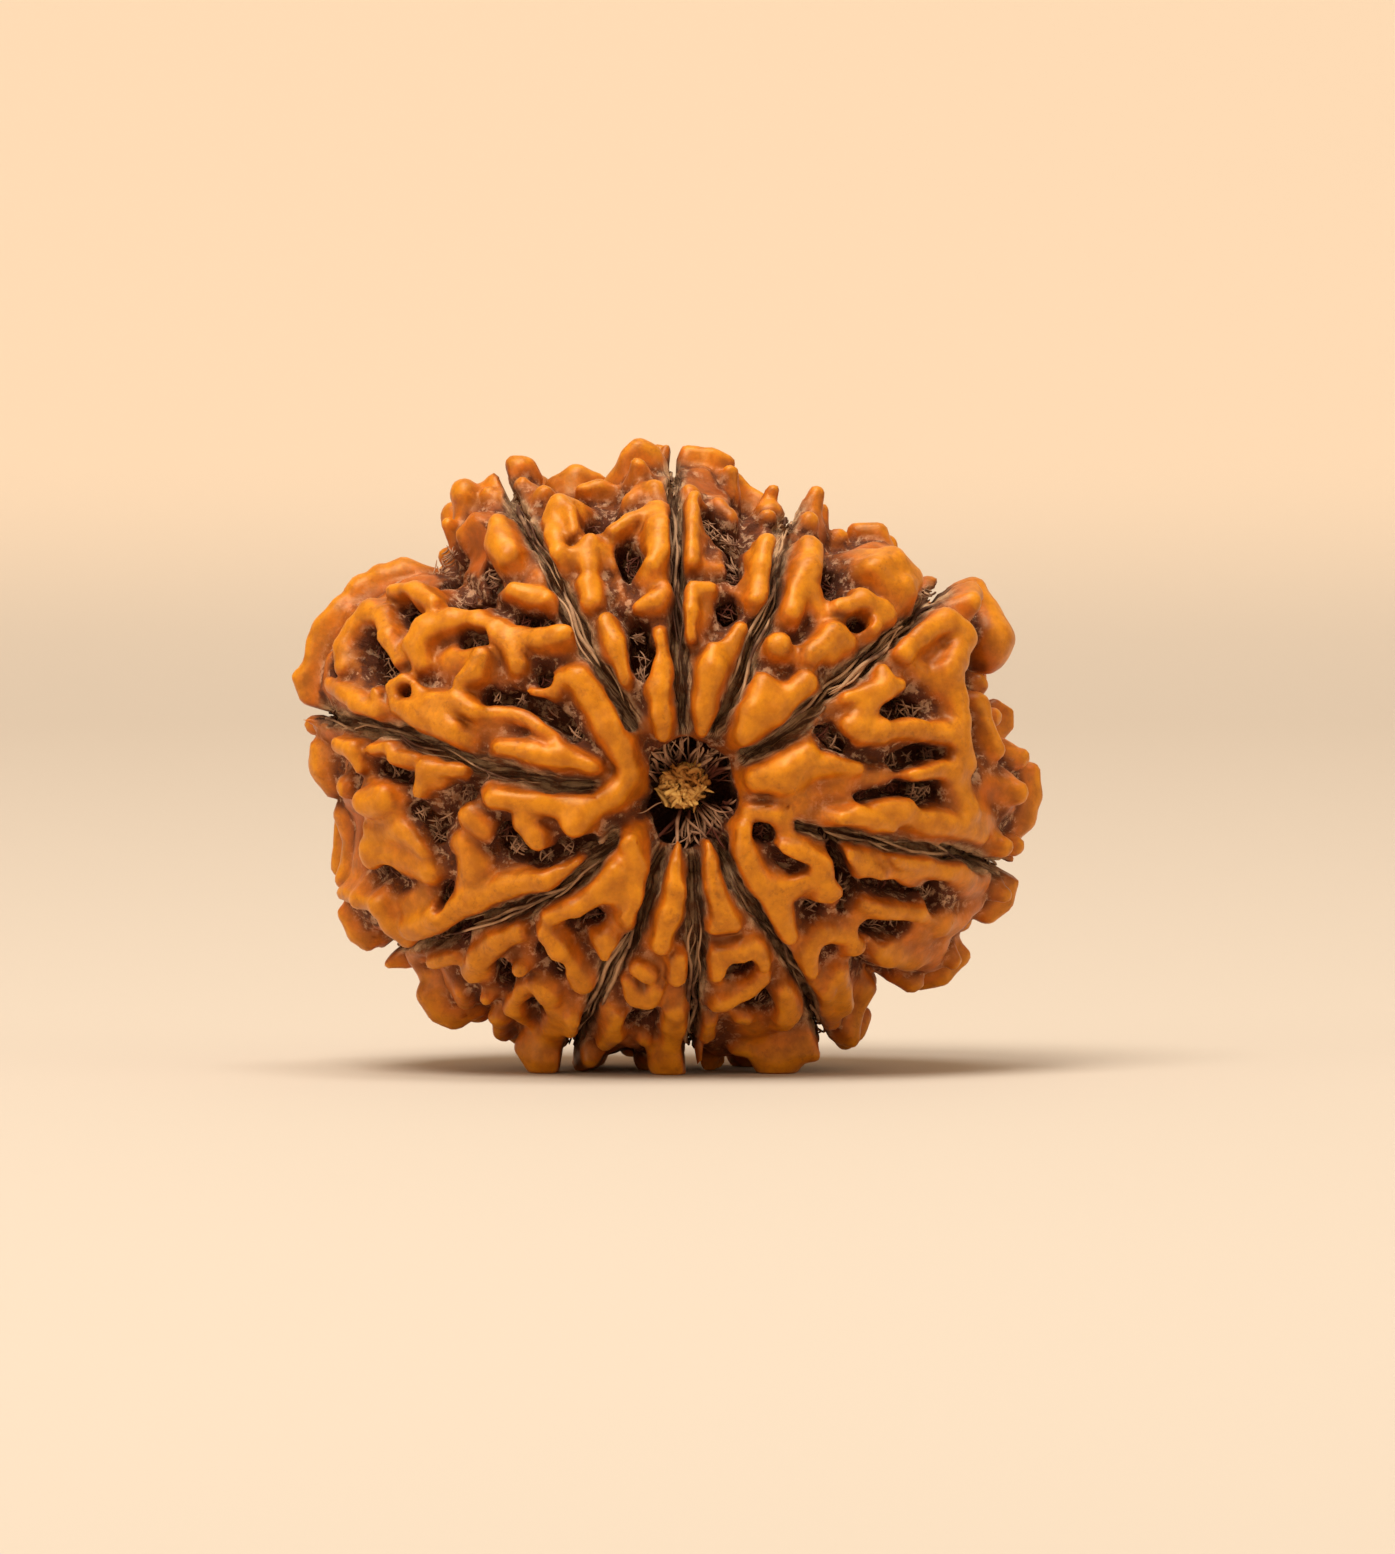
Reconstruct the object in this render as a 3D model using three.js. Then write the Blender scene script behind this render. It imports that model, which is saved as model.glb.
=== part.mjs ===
// A rudraksha seed: the dried stone of an Elaeocarpus fruit, standing on its rim.
// It is one solid. Narrow clefts run like meridians from the open pit at one end, over the rim, to the
// closed tip at the other, and between them the stone is covered in waxy lobes that join and fork.
// Millimetres, +Z up. The seed's axis lies along Y and its open pit faces -Y.
import * as THREE from "three";

// The stone under its lobes: an ellipsoid, by its centre and its three half sizes.
const STONE = { centre: [-0.2, 0, 11.15], half: [12.35, 8.92, 10.55] };
// The stone swells and sinks a little from place to place.
const SWELL = 0.22;
// The crown is the smooth surface that the crests of the lobes reach.
const CROWN = { centre: [-0.2, 0, 11.2], half: [13.2, 9.8, 11.4] };
// The open pit: where its axis stands, how wide and deep it is, and how the crown dips towards it.
const PIT = { x: 0.75, z: 10.3, radius: 2.1, floor: 4.6, dip: 1.9, dipReach: 2.5 };
// The plug of fibre that is left of the stalk, in the middle of the pit.
const PLUG = { x: 0.65, z: 10.5, radius: 0.8, top: 7.0 };
// The seed's outline as seen along the axis, clockwise from the left: [across, up] points. The stone
// and the lobes of the far side keep inside it.
const OUTLINE = [
  [-13.4, 14.1], [-12.9, 15.4], [-12.5, 16.3], [-11.9, 17.1], [-11.2, 17.7], [-10.2, 18.1], [-9.2, 18.4],
  [-8.1, 18.4], [-8.0, 19.8], [-7.7, 21.0], [-6.9, 21.4], [-6.3, 21.4], [-5.8, 21.9], [-5.2, 22.1],
  [-4.6, 21.5], [-3.9, 21.2], [-3.1, 21.3], [-2.1, 21.3], [-1.6, 22.2], [-1.0, 22.7], [-0.3, 22.6],
  [0.6, 22.5], [1.7, 22.3], [2.3, 21.9], [2.6, 21.0], [3.0, 20.3], [3.8, 20.7], [4.5, 20.5], [5.2, 21.0],
  [5.9, 20.4], [6.4, 19.5], [7.0, 19.7], [7.8, 19.8], [9.0, 19.2], [9.6, 18.2], [10.2, 17.6], [11.1, 17.8],
  [11.8, 17.2], [12.0, 16.1], [11.5, 15.2], [11.7, 14.1], [12.2, 13.1], [12.1, 12.1], [12.9, 11.5],
  [13.5, 10.4], [13.4, 9.2], [12.9, 8.1], [12.8, 7.0], [12.4, 6.1], [11.7, 5.1], [11.0, 4.3], [10.3, 3.3],
  [9.3, 2.9], [8.2, 3.1], [7.5, 3.6], [7.3, 2.2], [6.8, 0.9], [5.7, 0.6], [4.5, 0.1], [0.5, 0.0],
  [-4.2, 0.1], [-5.6, 0.8], [-6.6, 1.7], [-8.3, 1.8], [-9.0, 3.1], [-9.9, 3.6], [-10.5, 4.3], [-11.4, 4.7],
  [-12.0, 5.8], [-12.0, 7.4], [-12.0, 9.2], [-12.7, 10.4], [-12.9, 11.6], [-13.2, 12.7], [-12.9, 13.2],
];
// The closed tip at the far end, where the crown dips again.
const TIP = { dip: 1.3, dipReach: 1.8 };
// A lobe widens from its crest down to its root, sunk this deep under the crown.
const LOBE = { depth: 1.9, widen: 1.2, crest: 0.84, shoulder: 1.14, root: 1.65 };
// The crests of the front rise and fall by up to this much.
const UNEVEN = 0.16;
const CLEFT = { halfWidth: 0.25, depth: 1.35, proud: 1.2 };
const PIT_HOLE = { proud: 1.5, share: 0.85 };
// How softly one lobe runs into the next, and how softly a hollow's lip is rounded.
const BLEND = { lobes: 0.28, cut: 0.22 };

// Clefts as seen along the axis, clockwise from the one at twelve o'clock: [across, up] points.
const CLEFTS = [
  [[0.6, 11.9], [0.55, 13.5], [0.6, 15.0], [0.5, 16.5], [0.45, 18.0], [0.4, 19.6], [0.3, 21.8]],
  [[1.5, 11.9], [2.2, 13.3], [2.9, 14.8], [3.45, 16.3], [4.0, 17.6], [4.3, 19.0], [4.6, 20.3]],
  [[2.5, 11.4], [4.2, 12.3], [5.3, 13.3], [6.2, 14.1], [7.3, 15.0], [8.2, 15.7], [9.0, 16.6], [10.2, 17.6]],
  [[5.0, 9.0], [6.5, 8.65], [8.0, 8.3], [9.3, 8.05], [10.6, 7.75], [12.2, 7.3]],
  [[1.8, 9.3], [2.2, 8.0], [2.8, 6.7], [3.6, 5.4], [4.3, 4.4], [4.9, 3.3], [5.3, 2.5], [5.6, 1.4]],
  [[0.9, 8.8], [1.0, 7.5], [1.15, 6.0], [1.2, 4.5], [1.1, 3.3], [1.0, 2.0], [0.9, 0.6]],
  [[0.1, 8.8], [-0.35, 7.3], [-0.75, 6.2], [-1.2, 5.1], [-1.6, 4.3], [-2.1, 3.4], [-2.5, 2.4], [-2.9, 1.5], [-3.5, 0.5]],
  [[-1.4, 9.0], [-2.4, 7.9], [-3.3, 7.0], [-4.3, 6.35], [-5.3, 5.8], [-6.6, 5.3], [-7.8, 4.85], [-10.2, 4.1]],
  [[-2.6, 10.45], [-4.5, 10.65], [-5.8, 11.0], [-7.2, 11.5], [-8.6, 11.95], [-9.8, 12.35], [-11.0, 12.65], [-12.8, 12.95]],
  [[-1.1, 12.5], [-1.9, 14.2], [-2.9, 15.8], [-3.5, 17.0], [-4.2, 18.4], [-4.9, 19.8], [-5.6, 21.0]],
];

// Lobes on the side of the open pit. Each is how far its crest stands over the crown, then its path as
// seen along the axis: [across, up, half width] points.
const FRONT_LOBES = [
  // between the clefts at eleven and twelve o'clock
  [0.0, [-0.2, 16.0, 0.28], [-0.12, 15.0, 0.36], [-0.1, 14.0, 0.42], [-0.05, 13.1, 0.38], [-0.15, 12.4, 0.3]],
  [-0.1, [-0.35, 14.25, 0.38]],
  [0.0, [-2.15, 16.5, 0.38], [-1.8, 15.6, 0.45], [-1.45, 14.5, 0.3]],
  [-0.7, [-0.85, 12.9, 0.5]],
  [-0.1, [0.0, 17.75, 0.36], [-0.35, 17.3, 0.42], [-0.85, 17.1, 0.3]],
  [0.0, [-2.8, 17.95, 0.5], [-2.75, 17.3, 0.42]],
  [0.1, [-3.75, 20.6, 0.42], [-4.1, 20.2, 0.42], [-4.1, 19.5, 0.45], [-3.85, 18.8, 0.36]],
  [-0.1, [-3.75, 20.6, 0.4], [-3.35, 20.3, 0.32], [-3.3, 19.7, 0.28]],
  [-0.1, [-3.8, 18.8, 0.32], [-3.2, 18.95, 0.3], [-2.7, 19.3, 0.34], [-2.8, 18.6, 0.35]],
  [-0.5, [-2.6, 19.85, 0.22], [-2.2, 19.3, 0.26], [-1.95, 18.7, 0.26]],
  [0.1, [-0.3, 20.6, 0.45], [-0.15, 19.8, 0.5], [-0.2, 19.0, 0.5], [-0.45, 18.45, 0.36]],
  [-0.1, [-0.5, 20.55, 0.38], [-1.3, 20.15, 0.3], [-1.9, 19.75, 0.24]],
  [-0.6, [-1.8, 18.2, 0.4], [-1.5, 17.5, 0.42]],
  [-0.5, [-1.25, 21.3, 0.38], [-0.8, 21.7, 0.42], [-0.35, 21.5, 0.4], [-0.25, 21.0, 0.4]],
  // between twelve and one
  [0.0, [1.35, 12.6, 0.3], [1.45, 13.6, 0.45], [1.65, 14.7, 0.55], [1.85, 15.5, 0.4]],
  [-0.3, [2.0, 15.0, 0.5], [2.4, 15.8, 0.38], [2.7, 16.35, 0.28]],
  [0.0, [1.0, 17.65, 0.3], [0.95, 16.8, 0.28], [0.95, 15.95, 0.26]],
  [-0.1, [1.0, 17.65, 0.3], [1.7, 17.75, 0.28]],
  [-0.5, [1.65, 17.5, 0.35], [1.55, 16.6, 0.35]],
  [0.0, [1.05, 20.85, 0.3], [0.95, 19.8, 0.3], [1.0, 18.6, 0.28]],
  [-0.2, [0.9, 21.4, 0.36]],
  [-0.8, [2.0, 21.6, 0.32], [1.95, 21.2, 0.28], [2.35, 20.7, 0.3]],
  [-0.6, [1.9, 19.3, 0.42], [1.6, 18.6, 0.42], [2.25, 18.7, 0.3]],
  [0.0, [3.7, 19.3, 0.38], [3.5, 18.4, 0.4], [3.25, 17.4, 0.36]],
  [-0.3, [3.2, 19.0, 0.36], [3.05, 18.1, 0.36]],
  [-0.6, [2.3, 17.95, 0.25], [2.65, 17.7, 0.25]],
  // between one and two
  [0.0, [2.85, 12.4, 0.35], [3.2, 13.4, 0.42], [3.5, 14.3, 0.4]],
  [0.0, [2.95, 12.3, 0.35], [4.0, 13.3, 0.45], [5.15, 14.4, 0.45]],
  [-0.1, [3.9, 13.9, 0.6]],
  [0.1, [4.1, 15.6, 0.48]],
  [0.0, [5.3, 15.35, 0.4], [6.2, 16.0, 0.48], [6.75, 15.7, 0.4]],
  [-0.1, [6.2, 15.4, 0.42]],
  [-0.5, [4.6, 15.45, 0.3], [5.2, 15.3, 0.3]],
  [0.0, [6.3, 16.95, 0.34], [7.15, 17.2, 0.42], [7.9, 16.9, 0.4], [8.15, 16.75, 0.34]],
  [-0.1, [8.0, 16.8, 0.36], [7.5, 16.25, 0.35]],
  [0.1, [5.35, 19.3, 0.5], [5.25, 18.4, 0.52], [4.75, 17.5, 0.48], [4.55, 16.85, 0.4]],
  [-0.3, [5.35, 17.5, 0.52], [5.75, 16.85, 0.36]],
  [0.1, [7.6, 18.4, 0.6], [8.3, 18.6, 0.68], [8.9, 18.2, 0.65], [8.7, 17.6, 0.55]],
  [0.0, [8.1, 17.9, 0.7]],
  // between two and half past three
  [0.0, [3.55, 10.9, 0.6], [4.5, 11.1, 0.8], [5.15, 11.7, 0.48]],
  [-0.2, [5.2, 11.3, 0.6], [6.1, 11.3, 0.42], [7.0, 11.1, 0.34]],
  [0.0, [6.8, 12.7, 0.42], [7.4, 13.4, 0.45], [8.1, 14.0, 0.42], [8.6, 14.15, 0.3]],
  [0.0, [8.0, 14.1, 0.38], [7.9, 14.65, 0.32]],
  [-0.1, [7.4, 13.9, 0.4], [6.65, 13.7, 0.26]],
  [-0.1, [6.8, 12.6, 0.4], [8.0, 12.55, 0.4], [9.3, 12.6, 0.45], [10.3, 12.4, 0.5], [10.8, 12.3, 0.45]],
  [0.1, [8.7, 15.3, 0.48], [9.3, 16.0, 0.52], [10.1, 16.3, 0.55]],
  [0.1, [10.1, 16.3, 0.55], [10.7, 15.8, 0.58], [10.6, 15.0, 0.52], [10.2, 14.5, 0.42]],
  [-0.5, [9.4, 14.8, 0.5]],
  [0.0, [10.5, 14.3, 0.42], [10.7, 13.6, 0.45], [10.8, 12.8, 0.45], [10.75, 11.9, 0.4], [11.1, 11.2, 0.4]],
  [-0.1, [9.0, 10.9, 0.36], [9.9, 11.0, 0.4], [10.6, 10.95, 0.45], [11.0, 10.3, 0.5], [11.1, 9.5, 0.5]],
  [0.0, [7.8, 9.7, 0.36], [8.6, 9.55, 0.5], [9.6, 9.2, 0.5], [10.8, 8.95, 0.5], [11.6, 8.5, 0.4]],
  [0.1, [6.3, 9.35, 0.3], [7.0, 9.45, 0.36], [7.6, 9.2, 0.3], [8.2, 8.95, 0.2]],
  [-0.6, [5.0, 10.1, 0.9], [6.6, 10.4, 0.7], [8.2, 10.9, 0.5]],
  [-0.4, [3.3, 9.5, 0.4], [4.4, 9.45, 0.4]],
  // between half past three and five
  [0.0, [3.0, 8.8, 0.42], [3.0, 8.0, 0.42], [3.5, 6.8, 0.48], [4.2, 5.7, 0.52], [4.6, 5.0, 0.36]],
  [0.0, [4.3, 8.25, 0.38], [5.0, 8.15, 0.42], [5.75, 7.6, 0.46], [6.0, 6.9, 0.45], [5.75, 6.45, 0.38]],
  [-0.3, [4.3, 6.6, 0.8], [5.1, 7.1, 0.6]],
  [-0.4, [3.8, 9.1, 0.35], [4.8, 8.85, 0.35]],
  [0.0, [6.6, 8.0, 0.36], [7.15, 7.6, 0.48], [7.75, 7.25, 0.38]],
  [0.0, [8.3, 7.85, 0.3], [9.3, 7.5, 0.35], [10.3, 7.2, 0.4], [11.1, 7.0, 0.42], [11.6, 6.7, 0.45]],
  [-0.4, [8.5, 7.3, 0.4], [9.4, 7.0, 0.36]],
  [0.0, [11.7, 6.5, 0.48], [11.4, 5.9, 0.5], [10.8, 5.4, 0.5], [10.2, 5.3, 0.5]],
  [-0.1, [7.2, 6.2, 0.3], [8.1, 5.9, 0.32], [9.2, 5.65, 0.38], [10.2, 5.4, 0.4]],
  [0.0, [10.4, 5.0, 0.5], [9.9, 4.2, 0.5], [9.2, 3.75, 0.5], [8.4, 3.85, 0.45], [7.8, 4.2, 0.35]],
  [-0.5, [9.4, 4.8, 0.42]],
  [-0.2, [5.2, 4.6, 0.36], [5.8, 5.0, 0.42], [6.5, 4.95, 0.42], [7.0, 5.0, 0.34], [6.9, 4.5, 0.32]],
  [0.0, [5.3, 4.4, 0.38], [5.3, 3.65, 0.26]],
  [-0.2, [6.3, 3.4, 0.5], [6.4, 2.6, 0.5], [6.5, 2.0, 0.5]],
  [0.0, [5.8, 3.0, 0.28], [5.95, 2.4, 0.28]],
  // between five and six
  [0.0, [1.6, 7.8, 0.22], [1.85, 6.8, 0.38], [2.15, 5.6, 0.55]],
  [-0.1, [1.8, 5.3, 0.36], [2.5, 5.3, 0.34]],
  [0.0, [1.9, 4.25, 0.38], [2.7, 4.4, 0.34], [3.3, 4.5, 0.34], [3.55, 3.9, 0.3]],
  [0.0, [1.9, 4.2, 0.38], [1.9, 3.65, 0.28]],
  [-0.1, [3.55, 3.3, 0.34], [3.0, 2.95, 0.38], [2.2, 2.55, 0.34], [1.85, 2.3, 0.3]],
  [0.0, [4.35, 2.9, 0.34], [4.5, 2.0, 0.45], [4.4, 1.5, 0.48]],
  [-0.1, [2.8, 1.7, 0.42]],
  [-0.3, [1.6, 1.6, 0.34], [1.5, 1.0, 0.34]],
  // between six and seven
  [0.0, [0.4, 7.8, 0.22], [0.35, 6.8, 0.38], [0.15, 5.8, 0.48], [-0.15, 4.85, 0.42]],
  [0.0, [0.45, 4.15, 0.4], [0.45, 3.5, 0.38]],
  [0.0, [-0.95, 3.75, 0.42], [-0.6, 3.55, 0.42]],
  [-0.1, [-1.4, 3.15, 0.3], [-1.1, 2.65, 0.38], [-0.6, 2.6, 0.38], [-0.25, 3.0, 0.3]],
  [0.0, [0.3, 2.2, 0.44], [0.4, 1.5, 0.48], [0.3, 0.9, 0.4]],
  [0.0, [-1.75, 1.95, 0.3], [-1.95, 1.2, 0.34], [-2.3, 0.75, 0.34]],
  [-0.2, [-0.8, 0.9, 0.35], [-0.3, 0.5, 0.45]],
  // between seven and eight
  [0.0, [-1.25, 8.5, 0.34], [-1.0, 7.5, 0.42], [-1.15, 6.5, 0.48], [-1.4, 5.95, 0.36]],
  [0.0, [-4.1, 5.8, 0.36], [-3.3, 6.1, 0.36], [-2.5, 6.7, 0.36], [-1.8, 7.4, 0.36]],
  [-0.3, [-1.9, 6.6, 0.5], [-1.5, 7.4, 0.5]],
  [0.0, [-2.2, 4.9, 0.48], [-2.0, 4.3, 0.45]],
  [0.0, [-4.3, 5.2, 0.32], [-3.8, 4.6, 0.36], [-3.4, 3.8, 0.42], [-3.05, 3.05, 0.55]],
  [0.0, [-3.3, 1.9, 0.4], [-3.45, 1.3, 0.34]],
  [-0.2, [-4.7, 3.0, 0.36], [-4.2, 2.7, 0.4], [-4.0, 2.0, 0.42], [-4.1, 1.2, 0.48], [-4.4, 0.7, 0.48]],
  [-0.3, [-4.7, 3.0, 0.34], [-5.3, 2.6, 0.36], [-5.6, 2.0, 0.36], [-5.2, 1.3, 0.4]],
  [0.0, [-5.4, 5.1, 0.36], [-6.2, 4.7, 0.4], [-6.8, 4.0, 0.45], [-7.1, 3.45, 0.5]],
  [0.0, [-5.3, 3.8, 0.34]],
  [-0.3, [-7.9, 4.0, 0.42], [-8.6, 3.75, 0.36]],
  [-0.2, [-7.5, 2.6, 0.38], [-7.4, 2.1, 0.38]],
  [-0.1, [-6.5, 2.45, 0.26]],
  // between eight and nine
  [0.0, [-6.2, 10.1, 0.34], [-4.6, 9.85, 0.42], [-3.1, 9.6, 0.55], [-1.9, 10.1, 0.5], [-1.3, 10.9, 0.46]],
  [0.0, [-3.3, 9.2, 0.55]],
  [-0.2, [-5.2, 9.2, 0.4], [-4.7, 8.7, 0.38], [-4.5, 8.3, 0.3]],
  [-0.4, [-7.2, 9.4, 0.5], [-6.6, 8.9, 0.5]],
  [-0.3, [-7.5, 8.3, 0.6], [-7.0, 7.4, 0.8], [-7.2, 6.6, 0.75]],
  [0.0, [-9.3, 5.15, 0.5], [-8.2, 5.65, 0.5], [-7.0, 6.15, 0.5], [-5.8, 6.75, 0.45], [-4.4, 7.1, 0.4], [-3.2, 7.75, 0.32]],
  [0.0, [-9.6, 4.7, 0.42], [-10.0, 5.3, 0.45], [-10.4, 6.0, 0.42], [-11.2, 6.2, 0.36], [-11.9, 6.25, 0.3]],
  [0.1, [-10.9, 9.8, 0.6], [-10.25, 9.85, 0.62]],
  [0.0, [-8.6, 11.1, 0.34], [-8.95, 10.35, 0.32]],
  [0.0, [-8.6, 11.1, 0.34], [-7.3, 11.05, 0.2]],
  [-0.2, [-8.3, 10.7, 0.42]],
  [-0.1, [-9.9, 11.45, 0.26], [-9.2, 11.4, 0.26]],
  [-0.1, [-12.0, 11.9, 0.34], [-11.4, 11.7, 0.34], [-11.2, 11.0, 0.3]],
  [-0.3, [-10.8, 11.8, 0.28], [-10.1, 11.9, 0.26]],
  [-0.3, [-11.0, 8.7, 0.5], [-9.8, 8.8, 0.5], [-9.0, 8.2, 0.5]],
  [-0.4, [-10.6, 8.0, 0.5], [-9.6, 7.7, 0.45], [-8.8, 7.2, 0.5]],
  [-0.3, [-9.0, 6.2, 0.55], [-9.6, 5.8, 0.5]],
  // between nine and eleven
  [0.0, [-3.2, 14.5, 0.48], [-2.7, 13.8, 0.56], [-2.1, 12.9, 0.56], [-1.6, 12.0, 0.48], [-1.3, 11.2, 0.42]],
  [0.0, [-6.0, 11.9, 0.22], [-4.9, 11.8, 0.36], [-3.7, 11.7, 0.42], [-2.7, 11.3, 0.25]],
  [-0.3, [-6.4, 13.2, 0.3], [-5.5, 13.2, 0.36], [-4.6, 12.8, 0.3], [-3.9, 12.4, 0.24]],
  [0.1, [-9.7, 13.3, 0.34], [-8.8, 13.05, 0.42], [-8.1, 12.75, 0.55], [-7.7, 12.4, 0.42]],
  [0.1, [-8.4, 13.5, 0.42], [-7.5, 13.55, 0.45], [-6.9, 13.2, 0.38]],
  [0.2, [-7.3, 14.3, 0.3], [-6.8, 14.7, 0.34], [-6.6, 15.15, 0.34]],
  [-0.1, [-9.8, 13.5, 0.26], [-9.85, 14.05, 0.24], [-9.4, 14.2, 0.22], [-8.9, 13.8, 0.24]],
  [0.0, [-8.9, 14.9, 0.4], [-9.05, 15.6, 0.45], [-8.7, 16.3, 0.46], [-7.9, 16.6, 0.45], [-7.0, 16.6, 0.45], [-6.2, 16.2, 0.48]],
  [-0.1, [-6.2, 16.2, 0.48], [-5.6, 15.6, 0.45], [-5.3, 14.9, 0.4]],
  [-0.35, [-7.9, 15.2, 0.8], [-7.2, 15.3, 0.6]],
  [0.0, [-5.6, 16.1, 0.4], [-4.6, 15.8, 0.36], [-3.8, 15.95, 0.34], [-3.45, 16.05, 0.28]],
  [-0.3, [-4.9, 13.9, 0.3], [-4.2, 13.9, 0.3], [-3.8, 14.5, 0.28]],
  [0.0, [-5.5, 17.65, 0.28], [-4.8, 17.45, 0.42], [-4.35, 17.3, 0.32]],
  [0.1, [-6.1, 19.9, 0.45], [-6.0, 19.4, 0.58], [-5.65, 18.9, 0.48]],
  [0.0, [-9.7, 15.0, 0.32], [-9.95, 15.8, 0.36], [-10.45, 16.6, 0.42], [-10.95, 16.8, 0.45]],
  [0.0, [-10.95, 16.8, 0.45], [-11.4, 16.2, 0.45], [-11.7, 15.5, 0.42], [-11.75, 14.8, 0.38]],
  [-0.1, [-10.0, 17.45, 0.34], [-9.2, 17.45, 0.4], [-8.5, 17.15, 0.36]],
  [0.0, [-12.3, 14.1, 0.34], [-11.7, 13.8, 0.36], [-11.2, 13.4, 0.36], [-10.7, 13.15, 0.34]],
  [0.0, [-10.6, 13.9, 0.28], [-10.4, 13.3, 0.3]],
];

// Lobes that stand up at the rim or behind it: how far behind the seed's middle plane they are (a
// minus sign puts them before it), then their path.
const RIM_LOBES = [
  [-1.2, [-1.3, 22.1, 0.4], [-0.95, 22.35, 0.38], [-0.5, 22.15, 0.4]],
  [0.6, [-3.9, 21.1, 0.42], [-3.2, 21.3, 0.45], [-2.5, 21.1, 0.42]],
  [-2.2, [-3.0, 20.9, 0.28], [-2.4, 20.95, 0.3], [-1.7, 20.85, 0.28]],
  [0.2, [0.1, 22.25, 0.36], [0.9, 22.1, 0.36], [1.6, 22.0, 0.36], [2.1, 21.8, 0.34]],
  [-0.6, [2.3, 21.4, 0.34]],
  [-1.0, [3.75, 20.0, 0.48]],
  [-0.6, [3.84, 20.85, 0.17]],
  [-0.5, [5.35, 20.65, 0.38]],
  [0.9, [5.65, 20.1, 0.34]],
  [0.6, [7.0, 19.25, 0.5], [7.6, 19.25, 0.5]],
  [1.4, [10.5, 17.0, 0.5], [11.0, 17.1, 0.58], [11.3, 16.4, 0.58], [11.3, 15.8, 0.5]],
  [1.6, [11.3, 14.65, 0.34], [11.3, 13.9, 0.34]],
  [0.8, [11.25, 13.3, 0.4], [11.35, 12.6, 0.34]],
  [2.2, [11.9, 13.1, 0.24], [12.3, 12.75, 0.24], [12.5, 12.35, 0.2]],
  [-0.4, [12.8, 11.25, 0.42]],
  [-0.6, [11.6, 11.2, 0.36]],
  [0.8, [13.1, 10.6, 0.38], [13.1, 9.8, 0.42], [12.85, 9.0, 0.48], [12.5, 8.5, 0.38]],
  [0.9, [12.2, 7.4, 0.4], [12.4, 6.8, 0.36], [12.15, 6.2, 0.36], [11.6, 5.6, 0.34]],
  [1.0, [10.6, 4.1, 0.36], [10.2, 3.6, 0.3]],
  [0.8, [9.9, 3.4, 0.36], [9.1, 3.3, 0.36], [8.6, 3.35, 0.36]],
  [0.9, [7.05, 1.9, 0.36], [6.8, 1.3, 0.4], [6.5, 1.0, 0.34]],
  [-2.6, [2.6, 1.0, 0.4], [3.6, 0.85, 0.42], [4.6, 0.75, 0.42], [5.3, 0.75, 0.36]],
  [-1.8, [-4.9, 0.95, 0.46], [-4.5, 0.6, 0.46]],
  [-1.0, [-8.4, 2.8, 0.5], [-8.1, 2.3, 0.44], [-7.6, 2.05, 0.42], [-6.7, 2.3, 0.4]],
  [0.6, [-9.3, 3.85, 0.32], [-9.8, 3.9, 0.32], [-10.0, 4.4, 0.34]],
  [0.2, [-11.5, 5.6, 0.34], [-11.1, 5.0, 0.36], [-10.8, 4.65, 0.36]],
  [-0.6, [-11.4, 9.4, 0.45], [-11.15, 8.6, 0.45], [-11.15, 7.8, 0.48], [-11.4, 7.0, 0.48]],
  [-0.8, [-12.35, 11.6, 0.45], [-12.35, 10.9, 0.5], [-12.0, 10.4, 0.42]],
  [-0.9, [-12.9, 12.8, 0.2]],
  [-0.5, [-13.25, 14.2, 0.22], [-12.8, 14.5, 0.34], [-12.5, 15.4, 0.4], [-12.2, 16.1, 0.42], [-11.7, 16.7, 0.42]],
  [-0.2, [-11.7, 16.7, 0.42], [-11.1, 17.3, 0.46], [-10.2, 17.7, 0.48], [-9.4, 17.9, 0.46], [-8.4, 17.8, 0.4]],
  [-0.8, [-7.2, 20.65, 0.6]],
  [-1.4, [-6.4, 20.85, 0.3]],
  [-1.6, [-7.75, 19.65, 0.26]],
  [-2.4, [-7.1, 19.25, 0.34]],
  [-2.2, [-7.2, 18.45, 0.28]],
  [-0.6, [-5.5, 21.65, 0.42], [-5.1, 21.55, 0.42], [-4.75, 21.2, 0.36]],
  [-2.0, [-5.1, 21.1, 0.3], [-4.7, 20.7, 0.32], [-4.4, 20.4, 0.3]],
  [0.4, [-6.0, 21.2, 0.28]],
];

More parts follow.
